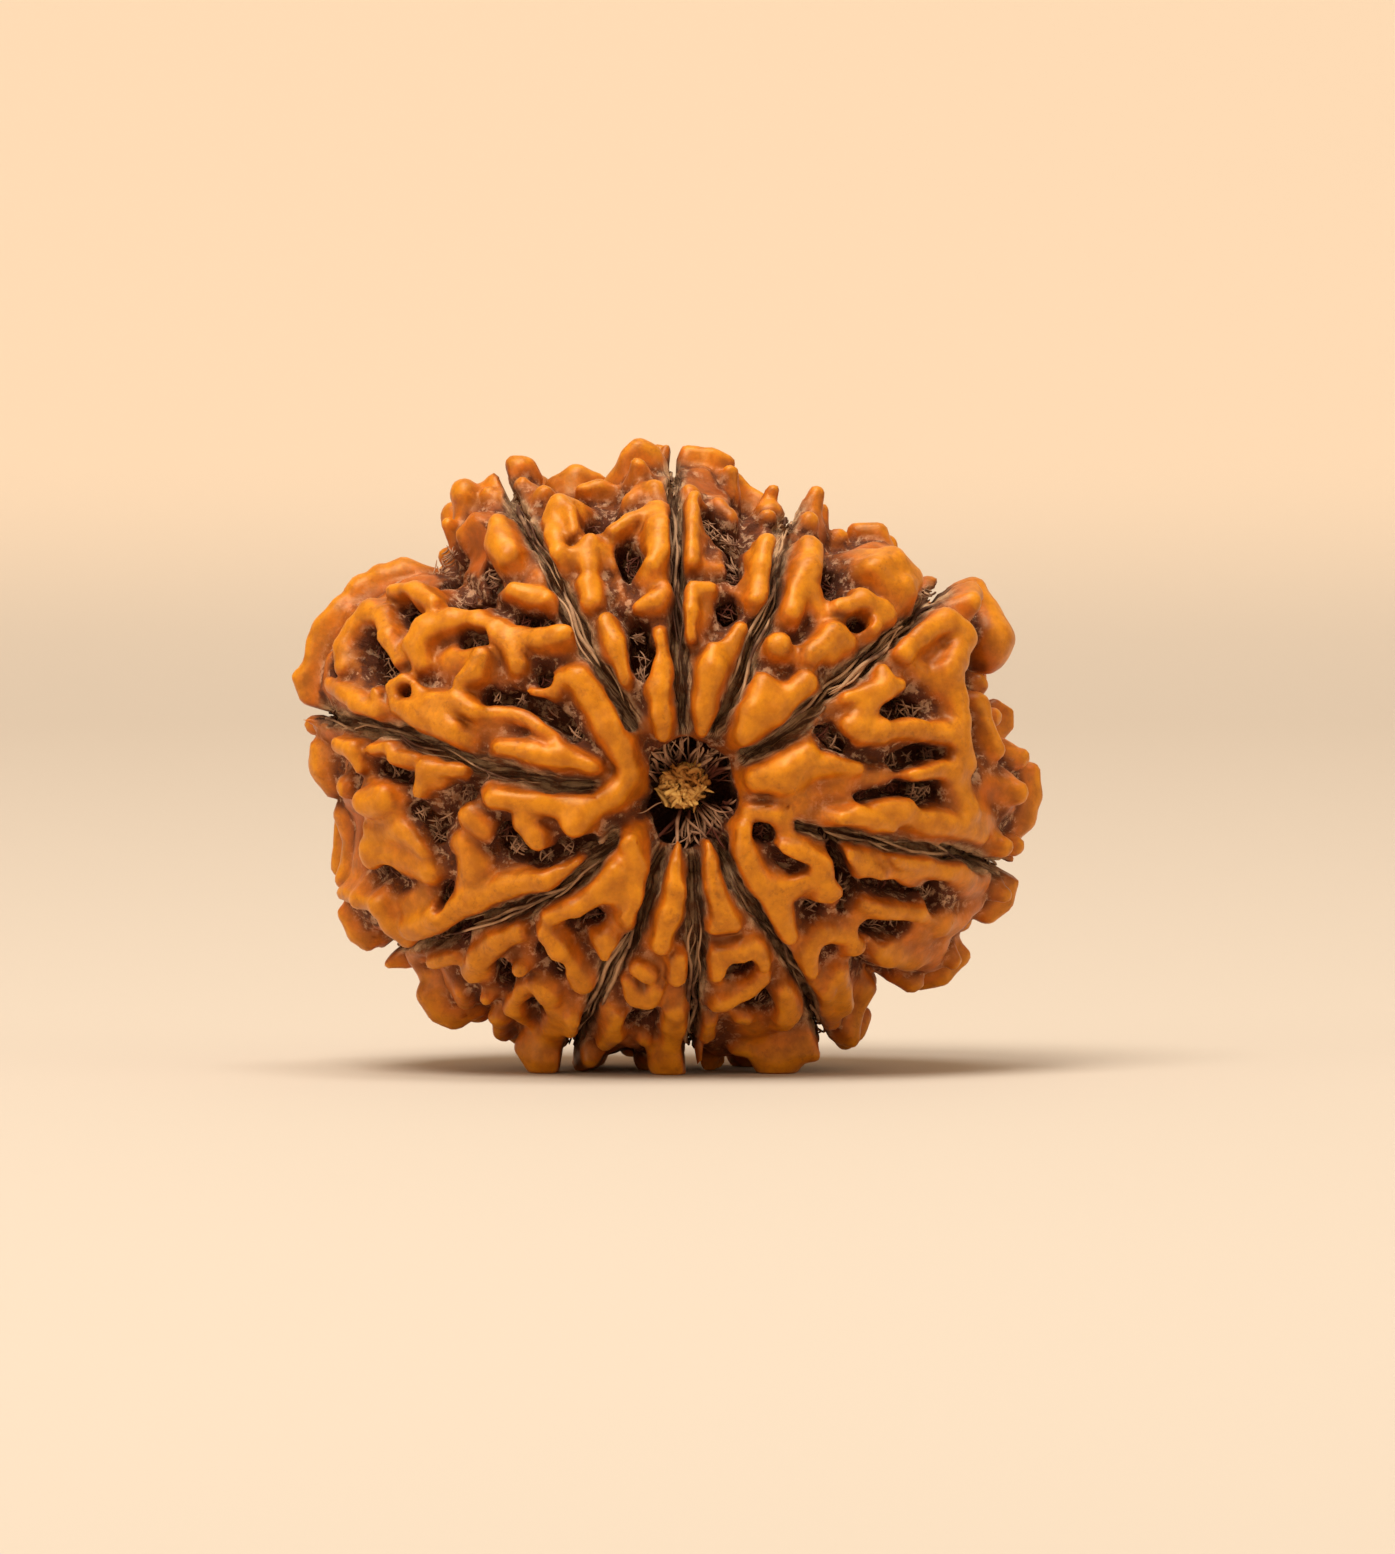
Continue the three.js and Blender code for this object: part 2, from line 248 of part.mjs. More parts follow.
// Pits and slots between the lobes of the front: how deep they go under the crown, then their path.
const HOLES = [
  [3.4, [-2.5, 20.3, 0.34], [-2.1, 20.25, 0.24]],
  [2.2, [-1.3, 19.2, 0.3], [-1.15, 18.9, 0.3]],
  [2.8, [-0.95, 16.3, 0.22], [-0.85, 15.4, 0.26], [-0.9, 14.8, 0.2]],
  [3.0, [1.6, 20.6, 0.26], [1.8, 20.3, 0.26]],
  [2.6, [2.4, 20.0, 0.24], [2.6, 19.8, 0.24]],
  [2.0, [2.5, 18.9, 0.2], [2.55, 18.5, 0.2]],
  [2.4, [2.35, 17.25, 0.28]],
  [2.3, [7.15, 16.45, 0.22]],
  [3.0, [6.3, 18.7, 0.22], [6.2, 18.1, 0.3], [6.35, 17.75, 0.26]],
  [2.4, [8.4, 13.2, 0.22], [9.1, 13.45, 0.3], [9.6, 13.3, 0.22]],
  [2.2, [8.7, 11.35, 0.14], [9.4, 11.55, 0.22], [10.2, 11.6, 0.14]],
  [2.4, [9.5, 10.05, 0.28], [9.95, 10.1, 0.26]],
  [1.8, [7.4, 10.1, 0.14], [8.6, 10.35, 0.14], [9.4, 10.2, 0.14]],
  [2.0, [6.0, 12.5, 0.2], [6.5, 12.1, 0.2]],
  [1.8, [3.65, 8.75, 0.26], [3.8, 8.3, 0.22], [4.3, 7.7, 0.22]],
  [2.4, [10.0, 6.4, 0.26], [9.95, 6.0, 0.28]],
  [2.0, [7.3, 6.85, 0.16], [8.2, 6.6, 0.2], [9.3, 6.35, 0.16]],
  [2.6, [7.5, 5.05, 0.26], [8.1, 4.95, 0.34], [8.7, 4.95, 0.28]],
  [2.0, [5.6, 5.85, 0.24]],
  [2.6, [6.1, 8.2, 0.12], [6.4, 7.3, 0.16], [6.7, 6.6, 0.2], [6.6, 6.0, 0.16]],
  [2.6, [2.35, 3.45, 0.18], [2.9, 3.6, 0.24]],
  [2.4, [3.4, 2.4, 0.2], [3.6, 2.1, 0.22], [2.6, 2.15, 0.14]],
  [2.6, [-1.1, 1.45, 0.26], [-0.7, 1.5, 0.24]],
  [2.4, [-3.1, 5.45, 0.28], [-2.7, 5.5, 0.24]],
  [2.2, [-4.5, 4.3, 0.2], [-4.1, 3.9, 0.24], [-3.95, 3.4, 0.16]],
  [2.8, [-6.1, 3.6, 0.16], [-6.0, 2.9, 0.26]],
  [2.4, [-4.8, 2.0, 0.28]],
  [2.4, [-8.6, 4.35, 0.12], [-7.6, 4.6, 0.2]],
  [1.9, [-11.0, 6.9, 0.2], [-10.3, 7.05, 0.22], [-9.8, 6.65, 0.12], [-9.1, 6.8, 0.1]],
  [2.3, [-5.9, 8.6, 0.24], [-5.6, 8.15, 0.2]],
  [1.9, [-5.5, 7.95, 0.14], [-4.5, 7.75, 0.18], [-3.6, 8.1, 0.2], [-2.4, 8.5, 0.16]],
  [1.5, [-8.1, 6.55, 0.1], [-8.2, 6.05, 0.12]],
  [1.7, [-9.3, 9.35, 0.2], [-8.8, 8.9, 0.22], [-8.6, 8.4, 0.16]],
  [1.7, [-6.7, 10.7, 0.16], [-7.5, 10.1, 0.18], [-8.3, 9.3, 0.18]],
  [2.0, [-10.4, 10.9, 0.22], [-9.6, 10.7, 0.2]],
  [1.5, [-7.2, 15.85, 0.3], [-6.7, 15.9, 0.22]],
  [2.0, [-6.4, 13.9, 0.2], [-5.4, 13.8, 0.16], [-4.3, 13.3, 0.2], [-3.4, 12.5, 0.16]],
  [2.0, [-4.4, 14.45, 0.24]],
  [2.8, [-10.95, 15.7, 0.36], [-10.75, 15.0, 0.42], [-10.3, 14.6, 0.3]],
  [3.0, [-8.7, 18.9, 0.3], [-8.4, 19.4, 0.3]],
  [2.2, [-9.6, 16.9, 0.26], [-9.35, 16.5, 0.18]],
  [1.6, [-9.35, 13.85, 0.16]],
  [2.6, [-7.8, 17.6, 0.2], [-7.3, 17.6, 0.24], [-7.0, 17.1, 0.14]],
  [2.2, [-6.75, 18.75, 0.2], [-6.6, 18.3, 0.2]],
  [2.0, [-5.3, 16.75, 0.16], [-4.5, 16.6, 0.2]],
  [1.3, [-12.25, 14.7, 0.14]],
];

// The low lobes that the seed stands on: [across, how far behind the middle, height, half width].
const FEET = [
  [0.3, -3.0, 0.62, 1.0],
  [-4.2, -2.0, 0.62, 0.95],
  [4.0, -2.2, 0.62, 0.95],
  [-3.0, 2.6, 0.62, 0.95],
  [3.1, 2.4, 0.62, 0.95],
  [-0.08, 0.1, 0.6, 1.1],
];
const FOOT_DEPTH = 2.0;

// The far side's lobes follow a rule: rows from the rim to the tip, knobs across each row. A knob is
// left out where it would run into a lobe of the lists above.
const BACK = {
  firstAngle: 76,
  lastAngle: 164,
  rowGap: 1.75,
  columnGap: 1.6,
  halfWidth: [0.45, 0.72],
  jitter: 0.45,
  joinShare: 0.5,
  sideShare: 0.3,
  apart: 0.05,
};
// The middle of the finished outline, which is moved to the origin: [across, back].
const MIDDLE = [0.1229, 0.0113];

// Small vector helpers.
const add = (a, b, s = 1) => [a[0] + b[0] * s, a[1] + b[1] * s, a[2] + b[2] * s];
const dot = (a, b) => a[0] * b[0] + a[1] * b[1] + a[2] * b[2];
const cross = (a, b) => [a[1] * b[2] - a[2] * b[1], a[2] * b[0] - a[0] * b[2], a[0] * b[1] - a[1] * b[0]];
const length = (a) => Math.sqrt(dot(a, a));
const unit = (a) => add([0, 0, 0], a, 1 / length(a));
const mix = (a, b, t) => a + (b - a) * t;
const clamp = (v, low, high) => Math.min(high, Math.max(low, v));

// A repeatable number from 0 to 1 for any whole number.
function chance(n) {
  const v = Math.sin(n * 127.1 + 311.7) * 43758.5453;
  return v - Math.floor(v);
}

// The two values run into each other over the width k: the lower one, or the higher one.
function softMin(a, b, k) {
  const h = Math.max(k - Math.abs(a - b), 0) / k;
  return Math.min(a, b) - (h * h * k) / 4;
}
const softMax = (a, b, k) => -softMin(-a, -b, k);

// How far the crown dips near either end of the axis.
function dipAt(x, z, end) {
  const d = Math.hypot(x - PIT.x, z - PIT.z) / end.dipReach;
  return end.dip * Math.exp(-d * d);
}

// The crown's outward direction at a point on it.
function outward(point) {
  return unit(point.map((v, i) => (v - CROWN.centre[i]) / CROWN.half[i] ** 2));
}

// The point of the crown that is seen at (x, z) from the side of the open pit.
function crownPoint(x, z) {
  const u = (x - CROWN.centre[0]) / CROWN.half[0];
  const v = (z - CROWN.centre[2]) / CROWN.half[2];
  const reach = CROWN.half[1] * Math.sqrt(Math.max(0, 1 - u * u - v * v));
  return [x, -Math.max(0, reach - dipAt(x, z, PIT)), z];
}

// A plate is a thick wall under the line from a to b that goes down along inward.
function plate(a, b, ra, rb, inward, depth, shaped) {
  const along = add(b, a, -1);
  const run = dot(along, along);
  let down = inward;
  if (run > 1e-9) down = unit(add(inward, along, -dot(inward, along) / run));
  return { a, along, run, ra, rb, down, depth, shaped };
}

// How wide a lobe is at a share of its depth, against its crest.
function lobeProfile(share) {
  if (share < 0.35) return mix(LOBE.crest, LOBE.shoulder, share / 0.35);
  return mix(LOBE.shoulder, LOBE.root, (share - 0.35) / 0.65);
}

// The signed distance from a point to a plate.
function plateDistance(item, x, y, z) {
  const qx = x - item.a[0];
  const qy = y - item.a[1];
  const qz = z - item.a[2];
  const reached = qx * item.along[0] + qy * item.along[1] + qz * item.along[2];
  const t = item.run > 1e-9 ? clamp(reached / item.run, 0, 1) : 0;
  const h = clamp(qx * item.down[0] + qy * item.down[1] + qz * item.down[2], 0, item.depth);
  const gx = qx - item.along[0] * t - item.down[0] * h;
  const gy = qy - item.along[1] * t - item.down[1] * h;
  const gz = qz - item.along[2] * t - item.down[2] * h;
  const r = mix(item.ra, item.rb, t) * (item.shaped ? lobeProfile(h / item.depth) : 1);
  return Math.sqrt(gx * gx + gy * gy + gz * gz) - r;
}

// Plates along a path of crest points, each { at, out, r }, sunk so that the tops touch the crests.
function platesAlong(crests, lift, depth, shaped) {
  const sunk = crests.map(({ at, out, r }) => add(at, out, lift - (shaped ? r * LOBE.crest : 0)));
  const made = [];
  const last = Math.max(1, crests.length - 1);
  for (let i = 0; i < last; i++) {
    const j = Math.min(i + 1, crests.length - 1);
    const inward = unit(add([0, 0, 0], add(crests[i].out, crests[j].out), -1));
    made.push(plate(sunk[i], sunk[j], crests[i].r, crests[j].r, inward, depth, shaped));
  }
  return made;
}

function frontCrests(path) {
  return path.map(([x, z, r]) => {
    const at = crownPoint(x, z);
    return { at, out: outward(at), r: r * LOBE.widen };
  });
}

function unevenCrests(path) {
  return frontCrests(path).map(({ at, out, r }, i) => {
    const n = Math.round(path[i][0] * 20) * 7 + Math.round(path[i][1] * 20) * 3;
    return { at: add(at, out, (2 * chance(n) - 1) * UNEVEN), out, r };
  });
}

function rimCrests(behind, path) {
  return path.map(([x, z, r]) => {
    const out = outward([x, behind, z]);
    return { at: add([x, behind, z], out, r), out, r: r * LOBE.widen };
  });
}

// The bearing about the axis, in radians, of every cleft at a given angle from the pit.
const cleftLines = CLEFTS.map((path) =>
  path.map(([x, z]) => {
    const [, y] = crownPoint(x, z);
    const across = x - PIT.x;
    const up = z - PIT.z;
    return { angle: Math.atan2(Math.hypot(across, up), -y), bearing: Math.atan2(up, across) };
  }),
);

function bearingAt(line, angle) {
  if (angle <= line[0].angle) return line[0].bearing;
  for (let i = 1; i < line.length; i++) {
    if (angle > line[i].angle) continue;
    const t = (angle - line[i - 1].angle) / (line[i].angle - line[i - 1].angle);
    return mix(line[i - 1].bearing, line[i].bearing, t);
  }
  return line[line.length - 1].bearing;
}

// How far the outline reaches at a bearing about the axis, against the crown.
const outlineReach = OUTLINE.map(([x, z]) => {
  const bearing = Math.atan2(z - PIT.z, x - PIT.x);
  const { at } = crownAt(Math.PI / 2, bearing);
  return { bearing, share: Math.hypot(x - PIT.x, z - PIT.z) / Math.hypot(at[0] - PIT.x, at[2] - PIT.z) };
}).sort((a, b) => a.bearing - b.bearing);

function shareAt(bearing) {
  const after = outlineReach.findIndex((point) => point.bearing > bearing);
  const b = after < 0 ? outlineReach[0] : outlineReach[after];
  const a = outlineReach[(after < 1 ? outlineReach.length : after) - 1];
  const whole = 2 * Math.PI;
  const t = ((bearing - a.bearing + whole) % whole) / ((b.bearing - a.bearing + whole) % whole);
  return mix(a.share, b.share, t);
}

// The direction from the axis at an angle from the open pit and a bearing about the axis.
function direction(angle, bearing) {
  const s = Math.sin(angle);
  return [s * Math.cos(bearing), -Math.cos(angle), s * Math.sin(bearing)];
}

// Where the ray from the middle of the axis leaves the crown.
function crownAt(angle, bearing) {
  const axisPoint = [PIT.x, 0, PIT.z];
  const d = direction(angle, bearing);
  const o = axisPoint.map((v, i) => (v - CROWN.centre[i]) / CROWN.half[i]);
  const e = d.map((v, i) => v / CROWN.half[i]);
  const b = dot(o, e);
  const a = dot(e, e);
  const reach = (-b + Math.sqrt(b * b - a * (dot(o, o) - 1))) / a;
  const at = add(axisPoint, d, reach);
  const out = outward(at);
  at[1] -= Math.sign(at[1]) * dipAt(at[0], at[2], at[1] > 0 ? TIP : PIT);
  return { at, out };
}

// The same place, drawn in or out to the outline.
function crownAlong(angle, bearing) {
  const { at, out } = crownAt(angle, bearing);
  const share = shareAt(Math.atan2(at[2] - PIT.z, at[0] - PIT.x));
  return { at: [mix(PIT.x, at[0], share), at[1], mix(PIT.z, at[2], share)], out };
}

// The bearings of a sector's two clefts, the second one after the first going clockwise.
function sectorBearings(sector, angle) {
  const from = bearingAt(cleftLines[sector], angle);
  let to = bearingAt(cleftLines[(sector + 1) % CLEFTS.length], angle);
  if (to > from) to -= 2 * Math.PI;
  return [from, to];
}

// Whether a knob stands apart from every one of the lobes.
function standsApart(knob, others) {
  const [x, y, z] = add(knob.at, knob.out, -knob.r);
  return others.every((item) => plateDistance(item, x, y, z) > knob.r + BACK.apart);
}

// The rule for the far side. Returns paths of crest points.
function backPaths(others) {
  const paths = [];
  const rad = Math.PI / 180;
  const turn = (BACK.lastAngle - BACK.firstAngle) * rad;
  const rows = Math.round((turn * CROWN.half[1] * 1.1) / BACK.rowGap);
  CLEFTS.forEach((_, sector) => {
    let lastRow = [];
    for (let row = 0; row <= rows; row++) {
      const angle = BACK.firstAngle * rad + (turn * row) / rows;
      const [from, to] = sectorBearings(sector, angle);
      const middle = crownAlong(angle, (from + to) / 2).at;
      const width = (from - to) * Math.hypot(middle[0] - PIT.x, middle[2] - PIT.z);
      const count = Math.max(1, Math.round(width / BACK.columnGap));
      const knobs = [];
      for (let column = 0; column < count; column++) {
        const n = sector * 1009 + row * 101 + column * 11;
        const side = (column + 0.5 + (chance(n) - 0.5) * BACK.jitter) / count;
        const shift = ((chance(n + 1) - 0.5) * BACK.jitter * turn) / rows;
        const knob = crownAlong(angle + shift, mix(from, to, side));
        const narrow = Math.min(1, width / count / 1.5);
        knob.r = mix(BACK.halfWidth[0], BACK.halfWidth[1], chance(n + 2)) * narrow;
        knob.stands = standsApart(knob, others);
        knobs.push(knob);
        if (!knob.stands) continue;
        const nearest = lastRow[Math.min(lastRow.length - 1, Math.round((column / count) * lastRow.length))];
        const joined = nearest?.stands && chance(n + 3) < BACK.joinShare;
        paths.push(joined ? [nearest, knob] : [knob]);
        const before = knobs[column - 1];
        if (before?.stands && chance(n + 4) < BACK.sideShare) paths.push([before, knob]);
      }
      lastRow = knobs;
    }
  });
  return paths;
}

// Everything that stands up from the stone, and everything that is cut into it.
const listed = [
  ...FRONT_LOBES.flatMap(([lift, ...path]) => platesAlong(unevenCrests(path), lift, LOBE.depth, true)),
  ...RIM_LOBES.flatMap(([behind, ...path]) => platesAlong(rimCrests(behind, path), 0, LOBE.depth, true)),
  ...FEET.map(([x, y, z, r]) => plate([x, y, z], [x, y, z], r, r, [0, 0, 1], FOOT_DEPTH, false)),
];
const lobes = [...listed, ...backPaths(listed).flatMap((path) => platesAlong(path, 0, LOBE.depth, true))];

// A cleft goes on over the rim and to the tip along the bearing that it has at the rim.
const FAR_CLEFT = { first: 100, last: 172, step: 9 };
function cleftCrests(path, line) {
  const r = CLEFT.halfWidth;
  const points = frontCrests(path.map(([x, z]) => [x, z, r / LOBE.widen]));
  const { bearing } = line[line.length - 1];
  for (let degrees = FAR_CLEFT.first; degrees <= FAR_CLEFT.last; degrees += FAR_CLEFT.step) {
    points.push({ ...crownAlong((degrees * Math.PI) / 180, bearing), r });
  }
  return points;
}

const hollows = [
  ...CLEFTS.flatMap((path, i) =>
    platesAlong(cleftCrests(path, cleftLines[i]), CLEFT.proud, CLEFT.depth + CLEFT.proud, false),
  ),
  ...HOLES.flatMap(([depth, ...path]) =>
    platesAlong(frontCrests(path), PIT_HOLE.proud, depth * PIT_HOLE.share + PIT_HOLE.proud, false),
  ),
];

// The seed's surface is where the distance to it, kept at the corners of small cubes, is zero.
const GRID = { low: [-14.4, -10.65, -0.75], step: 0.3, count: [96, 72, 82] };
const STRIDE = [1, GRID.count[0], GRID.count[0] * GRID.count[1]];
const REACH = 0.7;

function eachCorner(low, high, visit) {
  const first = low.map((v, i) => Math.max(0, Math.ceil((v - GRID.low[i]) / GRID.step)));
  const last = high.map((v, i) => Math.min(GRID.count[i] - 1, Math.floor((v - GRID.low[i]) / GRID.step)));
  for (let k = first[2]; k <= last[2]; k++) {
    for (let j = first[1]; j <= last[1]; j++) {
      for (let i = first[0]; i <= last[0]; i++) {
        const at = i + j * STRIDE[1] + k * STRIDE[2];
        visit(at, GRID.low[0] + i * GRID.step, GRID.low[1] + j * GRID.step, GRID.low[2] + k * GRID.step);
      }
    }
  }
}

function eachCornerNear(item, visit) {
  const ends = [item.a, add(item.a, item.along)];
  ends.push(...ends.map((end) => add(end, item.down, item.depth)));
  const spare = Math.max(item.ra, item.rb) * LOBE.root + REACH;
  const low = [0, 1, 2].map((i) => Math.min(...ends.map((end) => end[i])) - spare);
  const high = [0, 1, 2].map((i) => Math.max(...ends.map((end) => end[i])) + spare);
  eachCorner(low, high, visit);
}

function stoneDistance(x, y, z) {
  const share = shareAt(Math.atan2(z - PIT.z, x - PIT.x));
  const place = [PIT.x + (x - PIT.x) / share, y, PIT.z + (z - PIT.z) / share];
  const q = place.map((v, i) => (v - STONE.centre[i]) / STONE.half[i]);
  const steep = length(q.map((v, i) => v / STONE.half[i]));
  if (steep < 1e-6) return -STONE.half[1];
  const swell = SWELL * Math.sin(2.0 * x + 1.1 * z) * Math.sin(1.6 * z - 0.7 * x + 1.3 * y);
  const dip = dipAt(x, z, y < 0 ? PIT : TIP) * clamp(Math.abs(y) / 3 - 1, 0, 1);
  return (length(q) * (length(q) - 1)) / steep - swell + dip;
}

function seedField() {
  const field = new Float64Array(GRID.count[0] * GRID.count[1] * GRID.count[2]);
  const everywhere = [GRID.low, GRID.low.map((v, i) => v + GRID.step * GRID.count[i])];
  eachCorner(...everywhere, (at, x, y, z) => {
    const pit = Math.max(Math.hypot(x - PIT.x, z - PIT.z) - PIT.radius, PIT.floor + y);
    field[at] = softMax(stoneDistance(x, y, z), -pit, BLEND.cut);
  });
  for (const item of lobes) {
    eachCornerNear(item, (at, x, y, z) => {
      field[at] = softMin(field[at], plateDistance(item, x, y, z), BLEND.lobes);
    });
  }
  for (const item of hollows) {
    eachCornerNear(item, (at, x, y, z) => {
      field[at] = softMax(field[at], -plateDistance(item, x, y, z), BLEND.cut);
    });
  }
  eachCorner(...everywhere, (at, x, y, z) => {
    const plug = Math.max(Math.hypot(x - PLUG.x, z - PLUG.z) - PLUG.radius, -y - PLUG.top, y);
    field[at] = Math.max(softMin(field[at], plug, BLEND.cut), -z);
  });
  return field;
}

// Fills the corners that would let two parts of the surface touch at an edge or at a point only.
function mendField(field) {
  const [nx, ny, nz] = GRID.count;
  const fill = (at) => {
    field[at] = -0.02;
  };
  let mended = true;
  while (mended) {
    mended = false;
    for (let k = 0; k < nz - 1; k++)
      for (let j = 0; j < ny - 1; j++)
        for (let i = 0; i < nx - 1; i++) {
          const at = i + j * STRIDE[1] + k * STRIDE[2];
          for (let axis = 0; axis < 3; axis++) {
            const b = at + STRIDE[(axis + 1) % 3];
            const c = at + STRIDE[(axis + 2) % 3];
            const d = b + c - at;
            const inside = [at, b, c, d].map((n) => field[n] < 0);
            if (inside[0] !== inside[3] || inside[1] !== inside[2] || inside[0] === inside[1]) continue;
            const pair = inside[0] ? [b, c] : [at, d];
            fill(field[pair[0]] < field[pair[1]] ? pair[0] : pair[1]);
            mended = true;
          }
          const corners = [];
          for (let n = 0; n < 8; n++)
            corners.push(at + (n & 1) + ((n >> 1) & 1) * STRIDE[1] + (n >> 2) * STRIDE[2]);
          const count = corners.filter((n) => field[n] < 0).length;
          if (count !== 2 && count !== 6) continue;
          for (let n = 0; n < 4; n++) {
            const [p, q] = [corners[n], corners[7 - n]];
            if (field[p] < 0 !== field[q] < 0 || field[p] < 0 !== (count === 2)) continue;
            fill(count === 2 ? corners[n ^ 1] : p);
            mended = true;
          }
        }
  }
}

// One point in every cube that the surface crosses, and a square across every cube edge it crosses.
function surfaceNet(field) {
  const [nx, ny, nz] = GRID.count;
  const pointOf = new Int32Array(field.length).fill(-1);
  const points = [];
  const squares = [];
  for (let k = 0; k < nz - 1; k++)
    for (let j = 0; j < ny - 1; j++)
      for (let i = 0; i < nx - 1; i++) {
        const at = i + j * STRIDE[1] + k * STRIDE[2];
        const sum = [0, 0, 0];
        let crossings = 0;
        for (let axis = 0; axis < 3; axis++)
          for (let n = 0; n < 4; n++) {
            const [u, v] = [n & 1, n >> 1];
            const start = at + u * STRIDE[(axis + 1) % 3] + v * STRIDE[(axis + 2) % 3];
            const [f, g] = [field[start], field[start + STRIDE[axis]]];
            if (f < 0 === g < 0) continue;
            sum[axis] += f / (f - g);
            sum[(axis + 1) % 3] += u;
            sum[(axis + 2) % 3] += v;
            crossings++;
          }
        if (!crossings) continue;
        pointOf[at] = points.length;
        points.push([i, j, k].map((n, a) => GRID.low[a] + (n + sum[a] / crossings) * GRID.step));
        for (let axis = 0; axis < 3; axis++) {
          const other = at + STRIDE[axis];
          if (field[at] < 0 === field[other] < 0) continue;
          const [su, sv] = [STRIDE[(axis + 1) % 3], STRIDE[(axis + 2) % 3]];
          const square = [at - su - sv, at - sv, at, at - su].map((n) => pointOf[n]);
          squares.push(field[at] < 0 ? square : square.reverse());
        }
      }
  return { points, triangles: squares.flatMap(([a, b, c, d]) => [[a, b, c], [a, c, d]]) };
}

// Keeps the largest closed surface: the outside of the seed.
function keepLargest({ points, triangles }) {
  const owner = points.map((_, i) => i);
  const find = (i) => {
    let n = i;
    while (owner[n] !== n) {
      owner[n] = owner[owner[n]];
      n = owner[n];
    }
    return n;
  };
  for (const [a, b, c] of triangles) {
    owner[find(a)] = find(b);
    owner[find(b)] = find(c);
  }
  const sizes = new Map();
  for (const [a] of triangles) sizes.set(find(a), (sizes.get(find(a)) ?? 0) + 1);
  const largest = [...sizes].sort((a, b) => b[1] - a[1])[0][0];
  return { points, triangles: triangles.filter(([a]) => find(a) === largest) };
}

// Everything near the ground lies on it, so that the feet are flat.
const FLAT = 0.05;

// The fewest triangles that hold the surface: edges are drawn together one at a time, the one that
// moves the surface least first. The flats that the seed stands on are left as they are.
const MOST_TRIANGLES = 11600;
const LEAST_TURN = 0.25; // cosine of the largest turn of a triangle in one step
const LEAST_SHAPE = 0.03; // a triangle's height against its longest side

function planeSum(points, [a, b, c]) {
  const normal = cross(add(points[b], points[a], -1), add(points[c], points[a], -1));
  const area = length(normal);

  if (area < 1e-12) return new Array(10).fill(0);
  const [x, y, z] = add([0, 0, 0], normal, 1 / area);
  const w = -(x * points[a][0] + y * points[a][1] + z * points[a][2]);
  return [x * x, x * y, x * z, x * w, y * y, y * z, y * w, z * z, z * w, w * w].map((v) => v * area);
}

function costAt(s, [x, y, z]) {
  const squares = s[0] * x * x + s[4] * y * y + s[7] * z * z + s[9];
  return squares + 2 * (s[1] * x * y + s[2] * x * z + s[3] * x + s[5] * y * z + s[6] * y + s[8] * z);
}

// The place where two merged corners cost least.
function bestPlace(s, p, q) {
  const middle = [0, 1, 2].map((i) => (p[i] + q[i]) / 2);
  const hold = 1e-3 * (s[0] + s[4] + s[7]) + 1e-9;
  const rows = [
    [s[0] + hold, s[1], s[2]],
    [s[1], s[4] + hold, s[5]],
    [s[2], s[5], s[7] + hold],
  ];
  const right = [hold * middle[0] - s[3], hold * middle[1] - s[6], hold * middle[2] - s[8]];
  const whole = dot(rows[0], cross(rows[1], rows[2]));
  const columns = [cross(rows[1], rows[2]), cross(rows[2], rows[0]), cross(rows[0], rows[1])];
  const place = [0, 1, 2].map((i) => dot(right, columns.map((c) => c[i])) / whole);
  return length(add(place, middle, -1)) < 2 * length(add(p, q, -1)) ? place : middle;
}

// A heap of edges with the lowest cost on top.
function pushEdge(heap, edge) {
  let n = heap.push(edge) - 1;
  while (n > 0) {
    const parent = (n - 1) >> 1;
    if (heap[parent].cost <= edge.cost) break;
    heap[n] = heap[parent];
    n = parent;
  }
  heap[n] = edge;
}

function popEdge(heap) {
  const top = heap[0];
  const edge = heap.pop();
  if (!heap.length) return top;
  let n = 0;
  while (2 * n + 1 < heap.length) {
    let child = 2 * n + 1;
    if (child + 1 < heap.length && heap[child + 1].cost < heap[child].cost) child++;
    if (heap[child].cost >= edge.cost) break;
    heap[n] = heap[child];
    n = child;
  }
  heap[n] = edge;
  return top;
}

